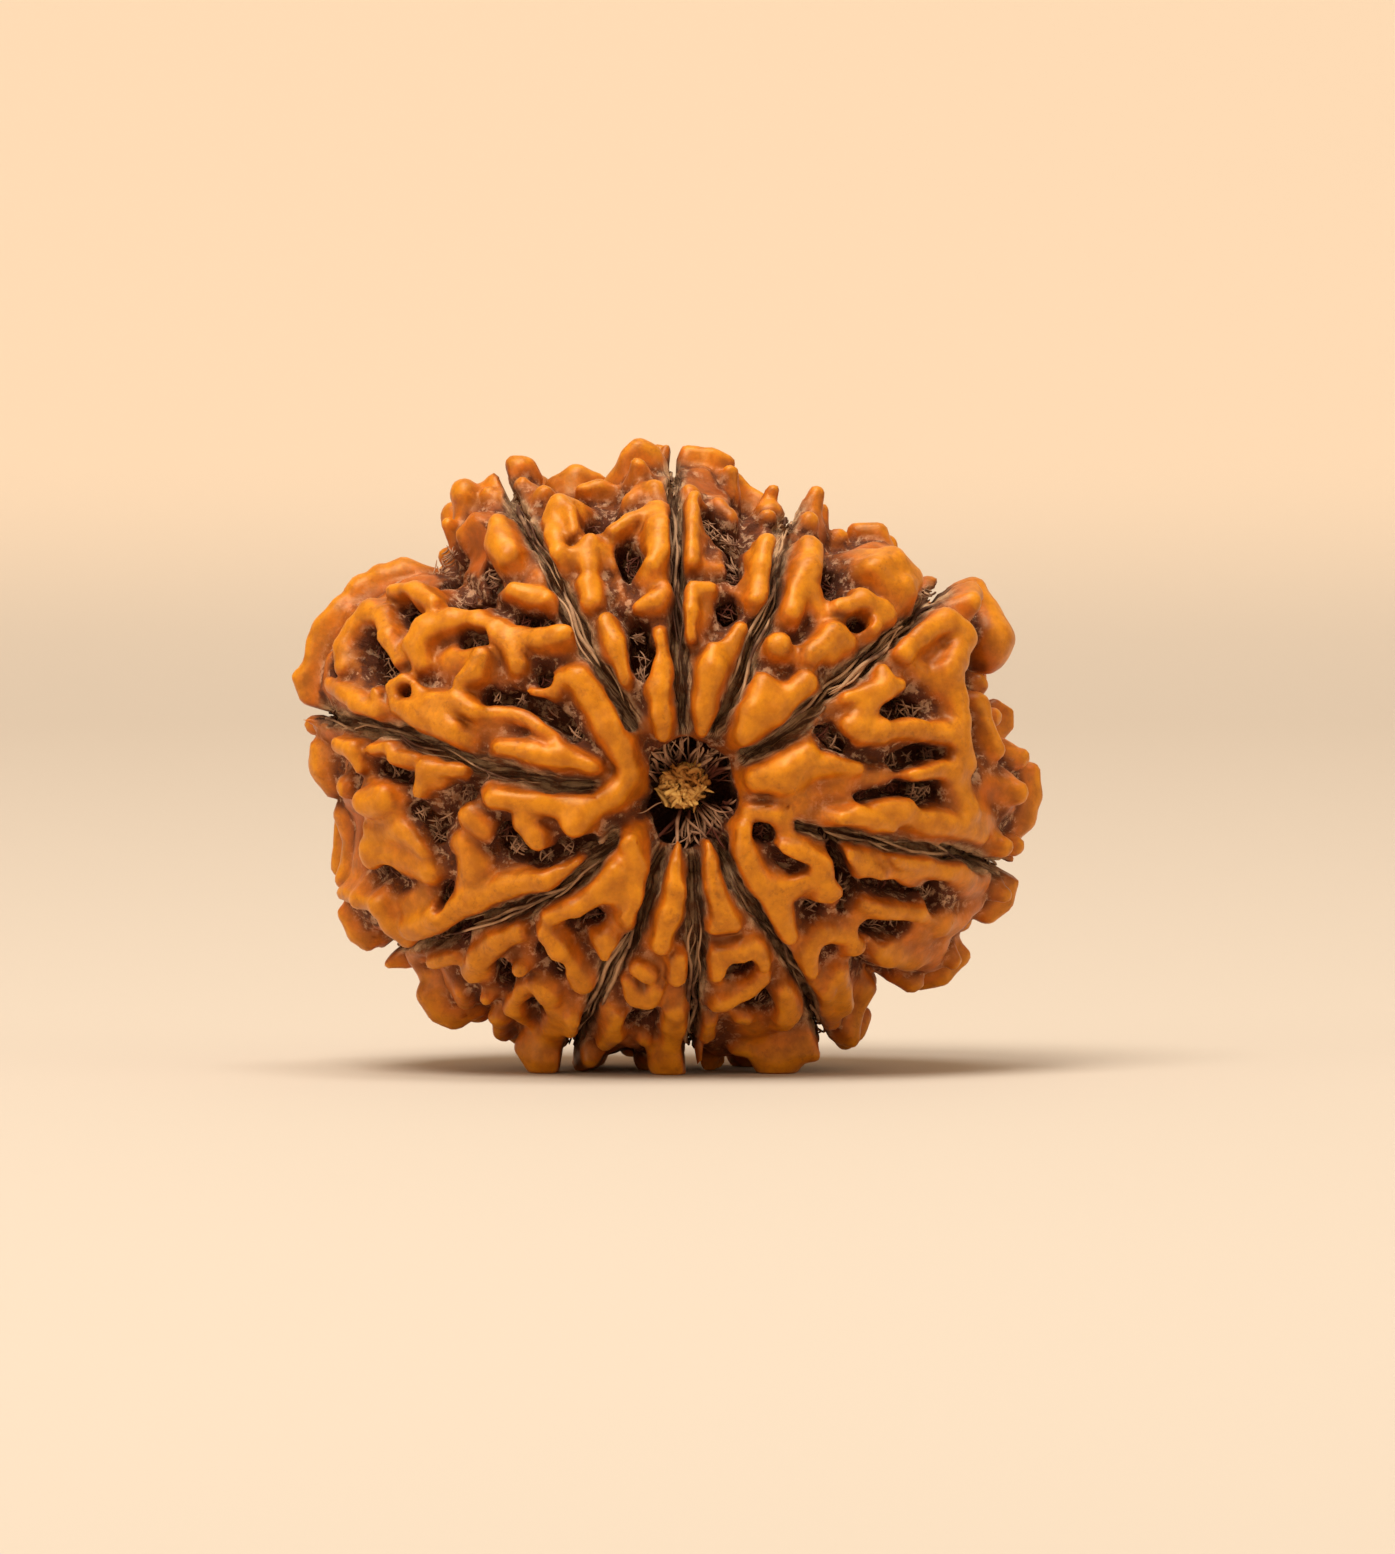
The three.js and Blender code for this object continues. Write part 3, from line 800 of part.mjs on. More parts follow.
function fewerTriangles({ points, triangles }) {
  const sums = points.map(() => new Array(10).fill(0));
  const around = points.map(() => new Set());
  triangles.forEach((triangle, t) => {
    const sum = planeSum(points, triangle);
    for (const corner of triangle) {
      around[corner].add(t);
      sum.forEach((v, i) => (sums[corner][i] += v));
    }
  });
  const age = new Int32Array(points.length);
  const alive = new Uint8Array(triangles.length).fill(1);
  let left = triangles.length;
  const heap = [];
  const onGround = (p) => points[p][2] < FLAT;
  const offer = (p, q) => {
    if (onGround(p) || onGround(q)) return;
    const sum = sums[p].map((v, i) => v + sums[q][i]);
    const place = bestPlace(sum, points[p], points[q]);
    pushEdge(heap, { p, q, place, cost: costAt(sum, place), ages: [age[p], age[q]] });
  };
  const neighbours = (p) => new Set([...around[p]].flatMap((t) => triangles[t]).filter((n) => n !== p));
  points.forEach((_, p) => neighbours(p).forEach((q) => p < q && offer(p, q)));

  // Whether the triangles of corner p, apart from those it shares with q, stay sound when it moves.
  const sound = (p, q, place) =>
    [...around[p]].every((t) => {
      if (triangles[t].includes(q)) return true;
      const old = triangles[t].map((n) => points[n]);
      const [a, b, c] = triangles[t].map((n) => (n === p ? place : points[n]));
      const before = cross(add(old[1], old[0], -1), add(old[2], old[0], -1));
      const sides = [add(b, a, -1), add(c, a, -1), add(c, b, -1)];
      const after = cross(sides[0], sides[1]);
      const longest = Math.max(...sides.map((side) => dot(side, side)));
      const turned = dot(before, after) < LEAST_TURN * length(before) * length(after);
      return !turned && length(after) > LEAST_SHAPE * longest;
    });

  while (left > MOST_TRIANGLES && heap.length) {
    const { p, q, place, ages } = popEdge(heap);
    if (age[p] !== ages[0] || age[q] !== ages[1]) continue;
    const nearP = neighbours(p);
    const shared = [...neighbours(q)].filter((n) => nearP.has(n));
    if (shared.length !== 2 || !sound(p, q, place) || !sound(q, p, place)) continue;
    for (const t of [...around[q]]) {
      if (triangles[t].includes(p)) {
        triangles[t].forEach((n) => around[n].delete(t));
        alive[t] = 0;
        left--;
      } else {
        triangles[t] = triangles[t].map((n) => (n === q ? p : n));
        around[p].add(t);
      }
    }
    sums[q].forEach((v, i) => (sums[p][i] += v));
    points[p] = place;
    age[p]++;
    age[q] = -1;
    neighbours(p).forEach((n) => offer(p, n));
  }
  return { points, triangles: triangles.filter((_, t) => alive[t]) };
}

function seedGeometry() {
  const field = seedField();
  mendField(field);
  const { points, triangles } = fewerTriangles(keepLargest(surfaceNet(field)));
  const place = new Map();
  for (const corner of triangles.flat()) if (!place.has(corner)) place.set(corner, place.size);
  const positions = [...place.keys()].flatMap((n) => {
    const [x, y, z] = points[n];
    return [x - MIDDLE[0], y - MIDDLE[1], z < FLAT ? 0 : z];
  });
  const geometry = new THREE.BufferGeometry();
  geometry.setAttribute("position", new THREE.Float32BufferAttribute(positions, 3));
  geometry.setIndex(triangles.flat().map((n) => place.get(n)));
  geometry.computeVertexNormals();
  return geometry;
}

const waxyShell = new THREE.MeshStandardMaterial({ color: 0xb8651c, roughness: 0.5, metalness: 0 });
const seed = new THREE.Mesh(seedGeometry(), waxyShell);
seed.name = "seed";

const group = new THREE.Group();
group.add(seed);
export default group;
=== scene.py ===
# A rudraksha seed on a plain pale floor. The fine surface stands where the CAD seed stands: it is made
# by the same lists and rules, in millimetres, on a finer grid, and then shrunk to metres.
import math

import bpy
import numpy as np
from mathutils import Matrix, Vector, noise


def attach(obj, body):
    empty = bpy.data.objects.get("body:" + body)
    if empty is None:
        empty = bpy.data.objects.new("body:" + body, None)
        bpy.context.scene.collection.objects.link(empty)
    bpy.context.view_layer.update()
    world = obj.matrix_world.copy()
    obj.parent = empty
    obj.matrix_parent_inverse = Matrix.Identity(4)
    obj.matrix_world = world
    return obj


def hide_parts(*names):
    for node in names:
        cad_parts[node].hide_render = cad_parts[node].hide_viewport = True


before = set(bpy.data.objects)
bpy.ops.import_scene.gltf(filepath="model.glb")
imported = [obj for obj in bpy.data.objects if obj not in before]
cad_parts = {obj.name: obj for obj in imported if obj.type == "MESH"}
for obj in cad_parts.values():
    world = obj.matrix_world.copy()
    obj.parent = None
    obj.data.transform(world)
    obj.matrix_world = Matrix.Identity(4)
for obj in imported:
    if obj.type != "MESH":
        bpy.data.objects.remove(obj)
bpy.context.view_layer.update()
MM = 0.001

# The stone under its lobes: an ellipsoid, by its centre and its three half sizes.
STONE = {"centre": [-0.2, 0, 11.15], "half": [12.35, 8.92, 10.55]}
# The stone swells and sinks a little from place to place.
SWELL = 0.22
# The crown is the smooth surface that the crests of the lobes reach.
CROWN = {"centre": [-0.2, 0, 11.2], "half": [13.2, 9.8, 11.4]}
# The open pit: where its axis stands, how wide and deep it is, and how the crown dips towards it.
PIT = {"x": 0.75, "z": 10.3, "radius": 1.9, "floor": 4.6, "dip": 1.9, "dipReach": 2.5}
# The plug of fibre that is left of the stalk, in the middle of the pit.
PLUG = {"x": 0.65, "z": 10.5, "radius": 0.8, "top": 7.0}
# The seed's outline as seen along the axis, clockwise from the left: [across, up] points. The stone
# and the lobes of the far side keep inside it.
OUTLINE = [
  [-13.4, 14.1], [-12.9, 15.4], [-12.5, 16.3], [-11.9, 17.1], [-11.2, 17.7], [-10.2, 18.1], [-9.2, 18.4],
  [-8.1, 18.4], [-8.0, 19.8], [-7.7, 21.0], [-6.9, 21.4], [-6.3, 21.4], [-5.8, 21.9], [-5.2, 22.1],
  [-4.6, 21.5], [-3.9, 21.2], [-3.1, 21.3], [-2.1, 21.3], [-1.6, 22.2], [-1.0, 22.7], [-0.3, 22.6],
  [0.6, 22.5], [1.7, 22.3], [2.3, 21.9], [2.6, 21.0], [3.0, 20.3], [3.8, 20.7], [4.5, 20.5], [5.2, 21.0],
  [5.9, 20.4], [6.4, 19.5], [7.0, 19.7], [7.8, 19.8], [9.0, 19.2], [9.6, 18.2], [10.2, 17.6], [11.1, 17.8],
  [11.8, 17.2], [12.0, 16.1], [11.5, 15.2], [11.7, 14.1], [12.2, 13.1], [12.1, 12.1], [12.9, 11.5],
  [13.5, 10.4], [13.4, 9.2], [12.9, 8.1], [12.8, 7.0], [12.4, 6.1], [11.7, 5.1], [11.0, 4.3], [10.3, 3.3],
  [9.3, 2.9], [8.2, 3.1], [7.5, 3.6], [7.3, 2.2], [6.8, 0.9], [5.7, 0.6], [4.5, 0.1], [0.5, 0.0],
  [-4.2, 0.1], [-5.6, 0.8], [-6.6, 1.7], [-8.3, 1.8], [-9.0, 3.1], [-9.9, 3.6], [-10.5, 4.3], [-11.4, 4.7],
  [-12.0, 5.8], [-12.0, 7.4], [-12.0, 9.2], [-12.7, 10.4], [-12.9, 11.6], [-13.2, 12.7], [-12.9, 13.2],
]
# The closed tip at the far end, where the crown dips again.
TIP = {"dip": 1.3, "dipReach": 1.8}
# A lobe widens from its crest down to its root, sunk this deep under the crown.
# The listed half widths are widened first, and then taken in shares at crest, shoulder and root.
LOBE = {"depth": 1.9, "widen": 1.54, "crest": 0.66, "shoulder": 1.06, "root": 1.35, "shoulderAt": 0.35}
# The crests of the front rise and fall by up to this much.
UNEVEN = 0.16
# A cleft: half its width, how deep it is cut under the crown on the front and on the far side, how far
# over the crown the cut starts, and half the width of the band of fibre in it.
CLEFT = {"halfWidth": 0.2, "depth": 1.35, "farDepth": 0.75, "proud": 1.2, "band": 0.36}
# Beyond the rim a cleft keeps its bearing: the angles from the open pit, in degrees, of its points there.
CLEFT_BEYOND = range(100, 173, 9)
# A hollow: how far over the crown its cut starts, and the share of its listed depth that it reaches.
HOLE = {"proud": 1.5, "share": 0.85}
# How softly one lobe runs into the next, and how softly a hollow's lip is rounded.
BLEND = {"lobes": 0.28, "cut": 0.22}

# Clefts as seen along the axis, clockwise from the one at twelve o'clock: [across, up] points.
CLEFTS = [
  [[0.6, 11.9], [0.55, 13.5], [0.6, 15.0], [0.5, 16.5], [0.45, 18.0], [0.4, 19.6], [0.3, 21.8]],
  [[1.5, 11.9], [2.2, 13.3], [2.9, 14.8], [3.45, 16.3], [4.0, 17.6], [4.3, 19.0], [4.6, 20.3]],
  [[2.5, 11.4], [4.2, 12.3], [5.3, 13.3], [6.2, 14.1], [7.3, 15.0], [8.2, 15.7], [9.0, 16.6], [10.2, 17.6]],
  [[5.0, 9.0], [6.5, 8.65], [8.0, 8.3], [9.3, 8.05], [10.6, 7.75], [12.2, 7.3]],
  [[1.8, 9.3], [2.2, 8.0], [2.8, 6.7], [3.6, 5.4], [4.3, 4.4], [4.9, 3.3], [5.3, 2.5], [5.6, 1.4]],
  [[0.9, 8.8], [1.0, 7.5], [1.15, 6.0], [1.2, 4.5], [1.1, 3.3], [1.0, 2.0], [0.9, 0.6]],
  [[0.1, 8.8], [-0.35, 7.3], [-0.75, 6.2], [-1.2, 5.1], [-1.6, 4.3], [-2.1, 3.4], [-2.5, 2.4],
    [-2.9, 1.5], [-3.5, 0.5]],
  [[-1.4, 9.0], [-2.4, 7.9], [-3.3, 7.0], [-4.3, 6.35], [-5.3, 5.8], [-6.6, 5.3], [-7.8, 4.85],
    [-10.2, 4.1]],
  [[-2.6, 10.45], [-4.5, 10.65], [-5.8, 11.0], [-7.2, 11.5], [-8.6, 11.95], [-9.8, 12.35],
    [-11.0, 12.65], [-12.8, 12.95]],
  [[-1.1, 12.5], [-1.9, 14.2], [-2.9, 15.8], [-3.5, 17.0], [-4.2, 18.4], [-4.9, 19.8], [-5.6, 21.0]],
]

# Lobes on the side of the open pit. Each is how far its crest stands over the crown, then its path as
# seen along the axis: [across, up, half width] points.
FRONT_LOBES = [
  # between the clefts at eleven and twelve o'clock
  [0.0, [-0.2, 16.0, 0.28], [-0.12, 15.0, 0.36], [-0.1, 14.0, 0.42], [-0.05, 13.1, 0.38],
    [-0.15, 12.4, 0.3]],
  [-0.1, [-0.35, 14.25, 0.38]],
  [0.0, [-2.15, 16.5, 0.38], [-1.8, 15.6, 0.45], [-1.45, 14.5, 0.3]],
  [-0.7, [-0.85, 12.9, 0.5]],
  [-0.1, [0.0, 17.75, 0.36], [-0.35, 17.3, 0.42], [-0.85, 17.1, 0.3]],
  [0.0, [-2.8, 17.95, 0.5], [-2.75, 17.3, 0.42]],
  [0.1, [-3.75, 20.6, 0.42], [-4.1, 20.2, 0.42], [-4.1, 19.5, 0.45], [-3.85, 18.8, 0.36]],
  [-0.1, [-3.75, 20.6, 0.4], [-3.35, 20.3, 0.32], [-3.3, 19.7, 0.28]],
  [-0.1, [-3.8, 18.8, 0.32], [-3.2, 18.95, 0.3], [-2.7, 19.3, 0.34], [-2.8, 18.6, 0.35]],
  [-0.5, [-2.6, 19.85, 0.22], [-2.2, 19.3, 0.26], [-1.95, 18.7, 0.26]],
  [0.1, [-0.3, 20.6, 0.45], [-0.15, 19.8, 0.5], [-0.2, 19.0, 0.5], [-0.45, 18.45, 0.36]],
  [-0.1, [-0.5, 20.55, 0.38], [-1.3, 20.15, 0.3], [-1.9, 19.75, 0.24]],
  [-0.6, [-1.8, 18.2, 0.4], [-1.5, 17.5, 0.42]],
  [-0.5, [-1.25, 21.3, 0.38], [-0.8, 21.7, 0.42], [-0.35, 21.5, 0.4], [-0.25, 21.0, 0.4]],
  # between twelve and one
  [0.0, [1.35, 12.6, 0.3], [1.45, 13.6, 0.45], [1.65, 14.7, 0.55], [1.85, 15.5, 0.4]],
  [-0.3, [2.0, 15.0, 0.5], [2.4, 15.8, 0.38], [2.7, 16.35, 0.28]],
  [0.0, [1.0, 17.65, 0.3], [0.95, 16.8, 0.28], [0.95, 15.95, 0.26]],
  [-0.1, [1.0, 17.65, 0.3], [1.7, 17.75, 0.28]],
  [-0.5, [1.65, 17.5, 0.35], [1.55, 16.6, 0.35]],
  [0.0, [1.05, 20.85, 0.3], [0.95, 19.8, 0.3], [1.0, 18.6, 0.28]],
  [-0.2, [0.9, 21.4, 0.36]],
  [-0.8, [2.0, 21.6, 0.32], [1.95, 21.2, 0.28], [2.35, 20.7, 0.3]],
  [-0.6, [1.9, 19.3, 0.42], [1.6, 18.6, 0.42], [2.25, 18.7, 0.3]],
  [0.0, [3.7, 19.3, 0.38], [3.5, 18.4, 0.4], [3.25, 17.4, 0.36]],
  [-0.3, [3.2, 19.0, 0.36], [3.05, 18.1, 0.36]],
  [-0.6, [2.3, 17.95, 0.25], [2.65, 17.7, 0.25]],
  # between one and two
  [0.0, [2.85, 12.4, 0.35], [3.2, 13.4, 0.42], [3.5, 14.3, 0.4]],
  [0.0, [2.95, 12.3, 0.35], [4.0, 13.3, 0.45], [5.15, 14.4, 0.45]],
  [-0.1, [3.9, 13.9, 0.6]],
  [0.1, [4.1, 15.6, 0.48]],
  [0.0, [5.3, 15.35, 0.4], [6.2, 16.0, 0.48], [6.75, 15.7, 0.4]],
  [-0.1, [6.2, 15.4, 0.42]],
  [-0.5, [4.6, 15.45, 0.3], [5.2, 15.3, 0.3]],
  [0.0, [6.3, 16.95, 0.34], [7.15, 17.2, 0.42], [7.9, 16.9, 0.4], [8.15, 16.75, 0.34]],
  [-0.1, [8.0, 16.8, 0.36], [7.5, 16.25, 0.35]],
  [0.1, [5.35, 19.3, 0.5], [5.25, 18.4, 0.52], [4.75, 17.5, 0.48], [4.55, 16.85, 0.4]],
  [-0.3, [5.35, 17.5, 0.52], [5.75, 16.85, 0.36]],
  [0.1, [7.6, 18.4, 0.6], [8.3, 18.6, 0.68], [8.9, 18.2, 0.65], [8.7, 17.6, 0.55]],
  [0.0, [8.1, 17.9, 0.7]],
  # between two and half past three
  [0.0, [3.55, 10.9, 0.6], [4.5, 11.1, 0.8], [5.15, 11.7, 0.48]],
  [-0.2, [5.2, 11.3, 0.6], [6.1, 11.3, 0.42], [7.0, 11.1, 0.34]],
  [0.0, [6.8, 12.7, 0.42], [7.4, 13.4, 0.45], [8.1, 14.0, 0.42], [8.6, 14.15, 0.3]],
  [0.0, [8.0, 14.1, 0.38], [7.9, 14.65, 0.32]],
  [-0.1, [7.4, 13.9, 0.4], [6.65, 13.7, 0.26]],
  [-0.1, [6.8, 12.6, 0.4], [8.0, 12.55, 0.4], [9.3, 12.6, 0.45], [10.3, 12.4, 0.5], [10.8, 12.3, 0.45]],
  [0.1, [8.7, 15.3, 0.48], [9.3, 16.0, 0.52], [10.1, 16.3, 0.55]],
  [0.1, [10.1, 16.3, 0.55], [10.7, 15.8, 0.58], [10.6, 15.0, 0.52], [10.2, 14.5, 0.42]],
  [-0.5, [9.4, 14.8, 0.5]],
  [0.0, [10.5, 14.3, 0.42], [10.7, 13.6, 0.45], [10.8, 12.8, 0.45], [10.75, 11.9, 0.4], [11.1, 11.2, 0.4]],
  [-0.1, [9.0, 10.9, 0.36], [9.9, 11.0, 0.4], [10.6, 10.95, 0.45], [11.0, 10.3, 0.5], [11.1, 9.5, 0.5]],
  [0.0, [7.8, 9.7, 0.36], [8.6, 9.55, 0.5], [9.6, 9.2, 0.5], [10.8, 8.95, 0.5], [11.6, 8.5, 0.4]],
  [0.1, [6.3, 9.35, 0.3], [7.0, 9.45, 0.36], [7.6, 9.2, 0.3], [8.2, 8.95, 0.2]],
  [-0.6, [5.0, 10.1, 0.9], [6.6, 10.4, 0.7], [8.2, 10.9, 0.5]],
  [-0.4, [3.3, 9.5, 0.4], [4.4, 9.45, 0.4]],
  # between half past three and five
  [0.0, [3.0, 8.8, 0.42], [3.0, 8.0, 0.42], [3.5, 6.8, 0.48], [4.2, 5.7, 0.52], [4.6, 5.0, 0.36]],
  [0.0, [4.3, 8.25, 0.38], [5.0, 8.15, 0.42], [5.75, 7.6, 0.46], [6.0, 6.9, 0.45], [5.75, 6.45, 0.38]],
  [-0.3, [4.3, 6.6, 0.8], [5.1, 7.1, 0.6]],
  [-0.4, [3.8, 9.1, 0.35], [4.8, 8.85, 0.35]],
  [0.0, [6.6, 8.0, 0.36], [7.15, 7.6, 0.48], [7.75, 7.25, 0.38]],
  [0.0, [8.3, 7.85, 0.3], [9.3, 7.5, 0.35], [10.3, 7.2, 0.4], [11.1, 7.0, 0.42], [11.6, 6.7, 0.45]],
  [-0.4, [8.5, 7.3, 0.4], [9.4, 7.0, 0.36]],
  [0.0, [11.6, 6.5, 0.52], [11.3, 5.9, 0.58], [10.8, 5.4, 0.6], [10.2, 5.3, 0.58]],
  [-0.1, [7.2, 6.2, 0.3], [8.1, 5.9, 0.32], [9.2, 5.65, 0.38], [10.2, 5.4, 0.4]],
  [0.0, [10.4, 5.0, 0.6], [9.9, 4.2, 0.62], [9.2, 3.85, 0.6], [8.4, 3.9, 0.5], [7.8, 4.2, 0.35]],
  [-0.5, [9.4, 4.8, 0.42]],
  [-0.2, [5.2, 4.6, 0.36], [5.8, 5.0, 0.42], [6.5, 4.95, 0.42], [7.0, 5.0, 0.34], [6.9, 4.5, 0.32]],
  [0.0, [5.3, 4.4, 0.38], [5.3, 3.65, 0.26]],
  [-0.2, [6.3, 3.4, 0.5], [6.4, 2.6, 0.5], [6.5, 2.0, 0.5]],
  [0.0, [5.8, 3.0, 0.28], [5.95, 2.4, 0.28]],
  # between five and six
  [0.0, [1.45, 8.5, 0.1], [1.6, 7.8, 0.22], [1.85, 6.8, 0.38], [2.15, 5.6, 0.55]],
  [-0.1, [1.8, 5.3, 0.36], [2.5, 5.3, 0.34]],
  [0.0, [1.9, 4.25, 0.38], [2.7, 4.4, 0.34], [3.3, 4.5, 0.34], [3.55, 3.9, 0.3]],
  [0.0, [1.9, 4.2, 0.38], [1.9, 3.65, 0.28]],
  [-0.1, [3.55, 3.3, 0.34], [3.0, 2.95, 0.38], [2.2, 2.55, 0.34], [1.85, 2.3, 0.3]],
  [0.0, [4.35, 2.9, 0.34], [4.5, 2.0, 0.45], [4.4, 1.5, 0.48]],
  [-0.1, [2.8, 1.7, 0.42]],
  [-0.3, [1.6, 1.6, 0.34], [1.5, 1.0, 0.34]],
  # between six and seven
  [0.0, [0.5, 8.5, 0.1], [0.42, 7.8, 0.22], [0.35, 6.8, 0.38], [0.15, 5.8, 0.48], [-0.15, 4.85, 0.42]],
  [0.0, [0.45, 4.15, 0.4], [0.45, 3.5, 0.38]],
  [0.0, [-0.95, 3.75, 0.42], [-0.6, 3.55, 0.42]],
  [-0.1, [-1.4, 3.15, 0.3], [-1.1, 2.65, 0.38], [-0.6, 2.6, 0.38], [-0.25, 3.0, 0.3]],
  [0.0, [0.3, 2.2, 0.44], [0.4, 1.5, 0.48], [0.3, 0.9, 0.4]],
  [0.0, [-1.75, 1.95, 0.3], [-1.95, 1.2, 0.34], [-2.3, 0.75, 0.34]],
  [-0.2, [-0.8, 0.9, 0.35], [-0.3, 0.5, 0.45]],
  # between seven and eight
  [0.0, [-1.25, 8.5, 0.34], [-1.0, 7.5, 0.42], [-1.15, 6.5, 0.48], [-1.4, 5.95, 0.36]],
  [0.0, [-4.1, 5.8, 0.36], [-3.3, 6.1, 0.36], [-2.5, 6.7, 0.36], [-1.8, 7.4, 0.36]],
  [-0.3, [-1.9, 6.6, 0.5], [-1.5, 7.4, 0.5]],
  [0.0, [-2.2, 4.9, 0.48], [-2.0, 4.3, 0.45]],
  [0.0, [-4.3, 5.2, 0.32], [-3.8, 4.6, 0.36], [-3.4, 3.8, 0.42], [-3.05, 3.05, 0.55]],
  [0.0, [-3.3, 1.9, 0.4], [-3.45, 1.3, 0.34]],
  [-0.2, [-4.7, 3.0, 0.36], [-4.2, 2.7, 0.4], [-4.0, 2.0, 0.42], [-4.1, 1.2, 0.48], [-4.4, 0.7, 0.48]],
  [-0.3, [-4.7, 3.0, 0.34], [-5.3, 2.6, 0.36], [-5.6, 2.0, 0.36], [-5.2, 1.3, 0.4]],
  [0.0, [-5.4, 5.1, 0.36], [-6.2, 4.7, 0.4], [-6.8, 4.0, 0.45], [-7.1, 3.45, 0.5]],
  [0.0, [-5.3, 3.8, 0.34]],
  [-0.3, [-7.9, 4.0, 0.42], [-8.6, 3.75, 0.36]],
  [-0.2, [-7.5, 2.6, 0.38], [-7.4, 2.1, 0.38]],
  [-0.1, [-6.5, 2.45, 0.26]],
  # between eight and nine
  [0.0, [-6.2, 10.1, 0.34], [-4.6, 9.85, 0.42], [-3.1, 9.6, 0.55], [-1.9, 10.1, 0.5], [-1.3, 10.9, 0.46]],
  [0.0, [-3.3, 9.2, 0.55]],
  [-0.2, [-5.2, 9.2, 0.4], [-4.7, 8.7, 0.38], [-4.5, 8.3, 0.3]],
  [-0.4, [-7.2, 9.4, 0.5], [-6.6, 8.9, 0.5]],
  [-0.3, [-7.5, 8.3, 0.6], [-7.0, 7.4, 0.8], [-7.2, 6.6, 0.75]],
  [0.0, [-9.3, 5.15, 0.5], [-8.2, 5.65, 0.5], [-7.0, 6.15, 0.5], [-5.8, 6.75, 0.45], [-4.4, 7.1, 0.4],
    [-3.2, 7.75, 0.32]],
  [0.0, [-9.6, 4.7, 0.42], [-10.0, 5.3, 0.45], [-10.4, 6.0, 0.42], [-11.2, 6.2, 0.36], [-11.9, 6.25, 0.3]],
  [0.1, [-10.9, 9.8, 0.6], [-10.25, 9.85, 0.62]],
  [0.0, [-8.6, 11.1, 0.34], [-8.95, 10.35, 0.32]],
  [0.0, [-8.6, 11.1, 0.34], [-7.3, 11.05, 0.2]],
  [-0.2, [-8.3, 10.7, 0.42]],
  [-0.1, [-9.9, 11.45, 0.26], [-9.2, 11.4, 0.26]],
  [-0.1, [-12.0, 11.9, 0.34], [-11.4, 11.7, 0.34], [-11.2, 11.0, 0.3]],
  [-0.3, [-10.8, 11.8, 0.28], [-10.1, 11.9, 0.26]],
  [-0.3, [-11.0, 8.7, 0.5], [-9.8, 8.8, 0.5], [-9.0, 8.2, 0.5]],
  [-0.35, [-10.9, 7.8, 0.8], [-9.6, 7.6, 0.7], [-8.8, 7.2, 0.6]],
  [-0.3, [-9.0, 6.2, 0.55], [-9.6, 5.8, 0.5]],
  # between nine and eleven
  [0.0, [-3.2, 14.5, 0.48], [-2.7, 13.8, 0.56], [-2.1, 12.9, 0.56], [-1.6, 12.0, 0.48], [-1.3, 11.2, 0.42]],
  [0.0, [-6.0, 11.9, 0.22], [-4.9, 11.8, 0.36], [-3.7, 11.7, 0.42], [-2.7, 11.3, 0.25]],
  [-0.3, [-6.4, 13.2, 0.3], [-5.5, 13.2, 0.36], [-4.6, 12.8, 0.3], [-3.9, 12.4, 0.24]],
  [0.1, [-9.7, 13.3, 0.34], [-8.8, 13.05, 0.42], [-8.1, 12.75, 0.55], [-7.7, 12.4, 0.42]],
  [0.1, [-8.4, 13.5, 0.42], [-7.5, 13.55, 0.45], [-6.9, 13.2, 0.38]],
  [0.2, [-7.3, 14.3, 0.3], [-6.8, 14.7, 0.34], [-6.6, 15.15, 0.34]],
  [-0.1, [-9.8, 13.5, 0.26], [-9.85, 14.05, 0.24], [-9.4, 14.2, 0.22], [-8.9, 13.8, 0.24]],
  [0.0, [-8.9, 14.9, 0.4], [-9.05, 15.6, 0.45], [-8.7, 16.3, 0.46], [-7.9, 16.6, 0.45],
    [-7.0, 16.6, 0.45], [-6.2, 16.2, 0.48]],
  [-0.1, [-6.2, 16.2, 0.48], [-5.6, 15.6, 0.45], [-5.3, 14.9, 0.4]],
  [-0.35, [-7.9, 15.2, 0.8], [-7.2, 15.3, 0.6]],
  [0.0, [-5.6, 16.1, 0.4], [-4.6, 15.8, 0.36], [-3.8, 15.95, 0.34], [-3.45, 16.05, 0.28]],
  [-0.3, [-4.9, 13.9, 0.3], [-4.2, 13.9, 0.3], [-3.8, 14.5, 0.28]],
  [0.0, [-5.5, 17.65, 0.28], [-4.8, 17.45, 0.42], [-4.35, 17.3, 0.32]],
  [0.1, [-6.1, 19.9, 0.45], [-6.0, 19.4, 0.58], [-5.65, 18.9, 0.48]],
  [0.0, [-9.7, 15.0, 0.32], [-9.95, 15.8, 0.36], [-10.45, 16.6, 0.42], [-10.95, 16.8, 0.45]],
  [0.0, [-10.95, 16.8, 0.45], [-11.4, 16.2, 0.45], [-11.7, 15.5, 0.42], [-11.75, 14.8, 0.38]],
  [-0.1, [-10.0, 17.45, 0.34], [-9.2, 17.45, 0.4], [-8.5, 17.15, 0.36]],
  [0.0, [-12.3, 14.1, 0.34], [-11.7, 13.8, 0.36], [-11.2, 13.4, 0.36], [-10.7, 13.15, 0.34]],
  [0.0, [-10.6, 13.9, 0.28], [-10.4, 13.3, 0.3]],
]

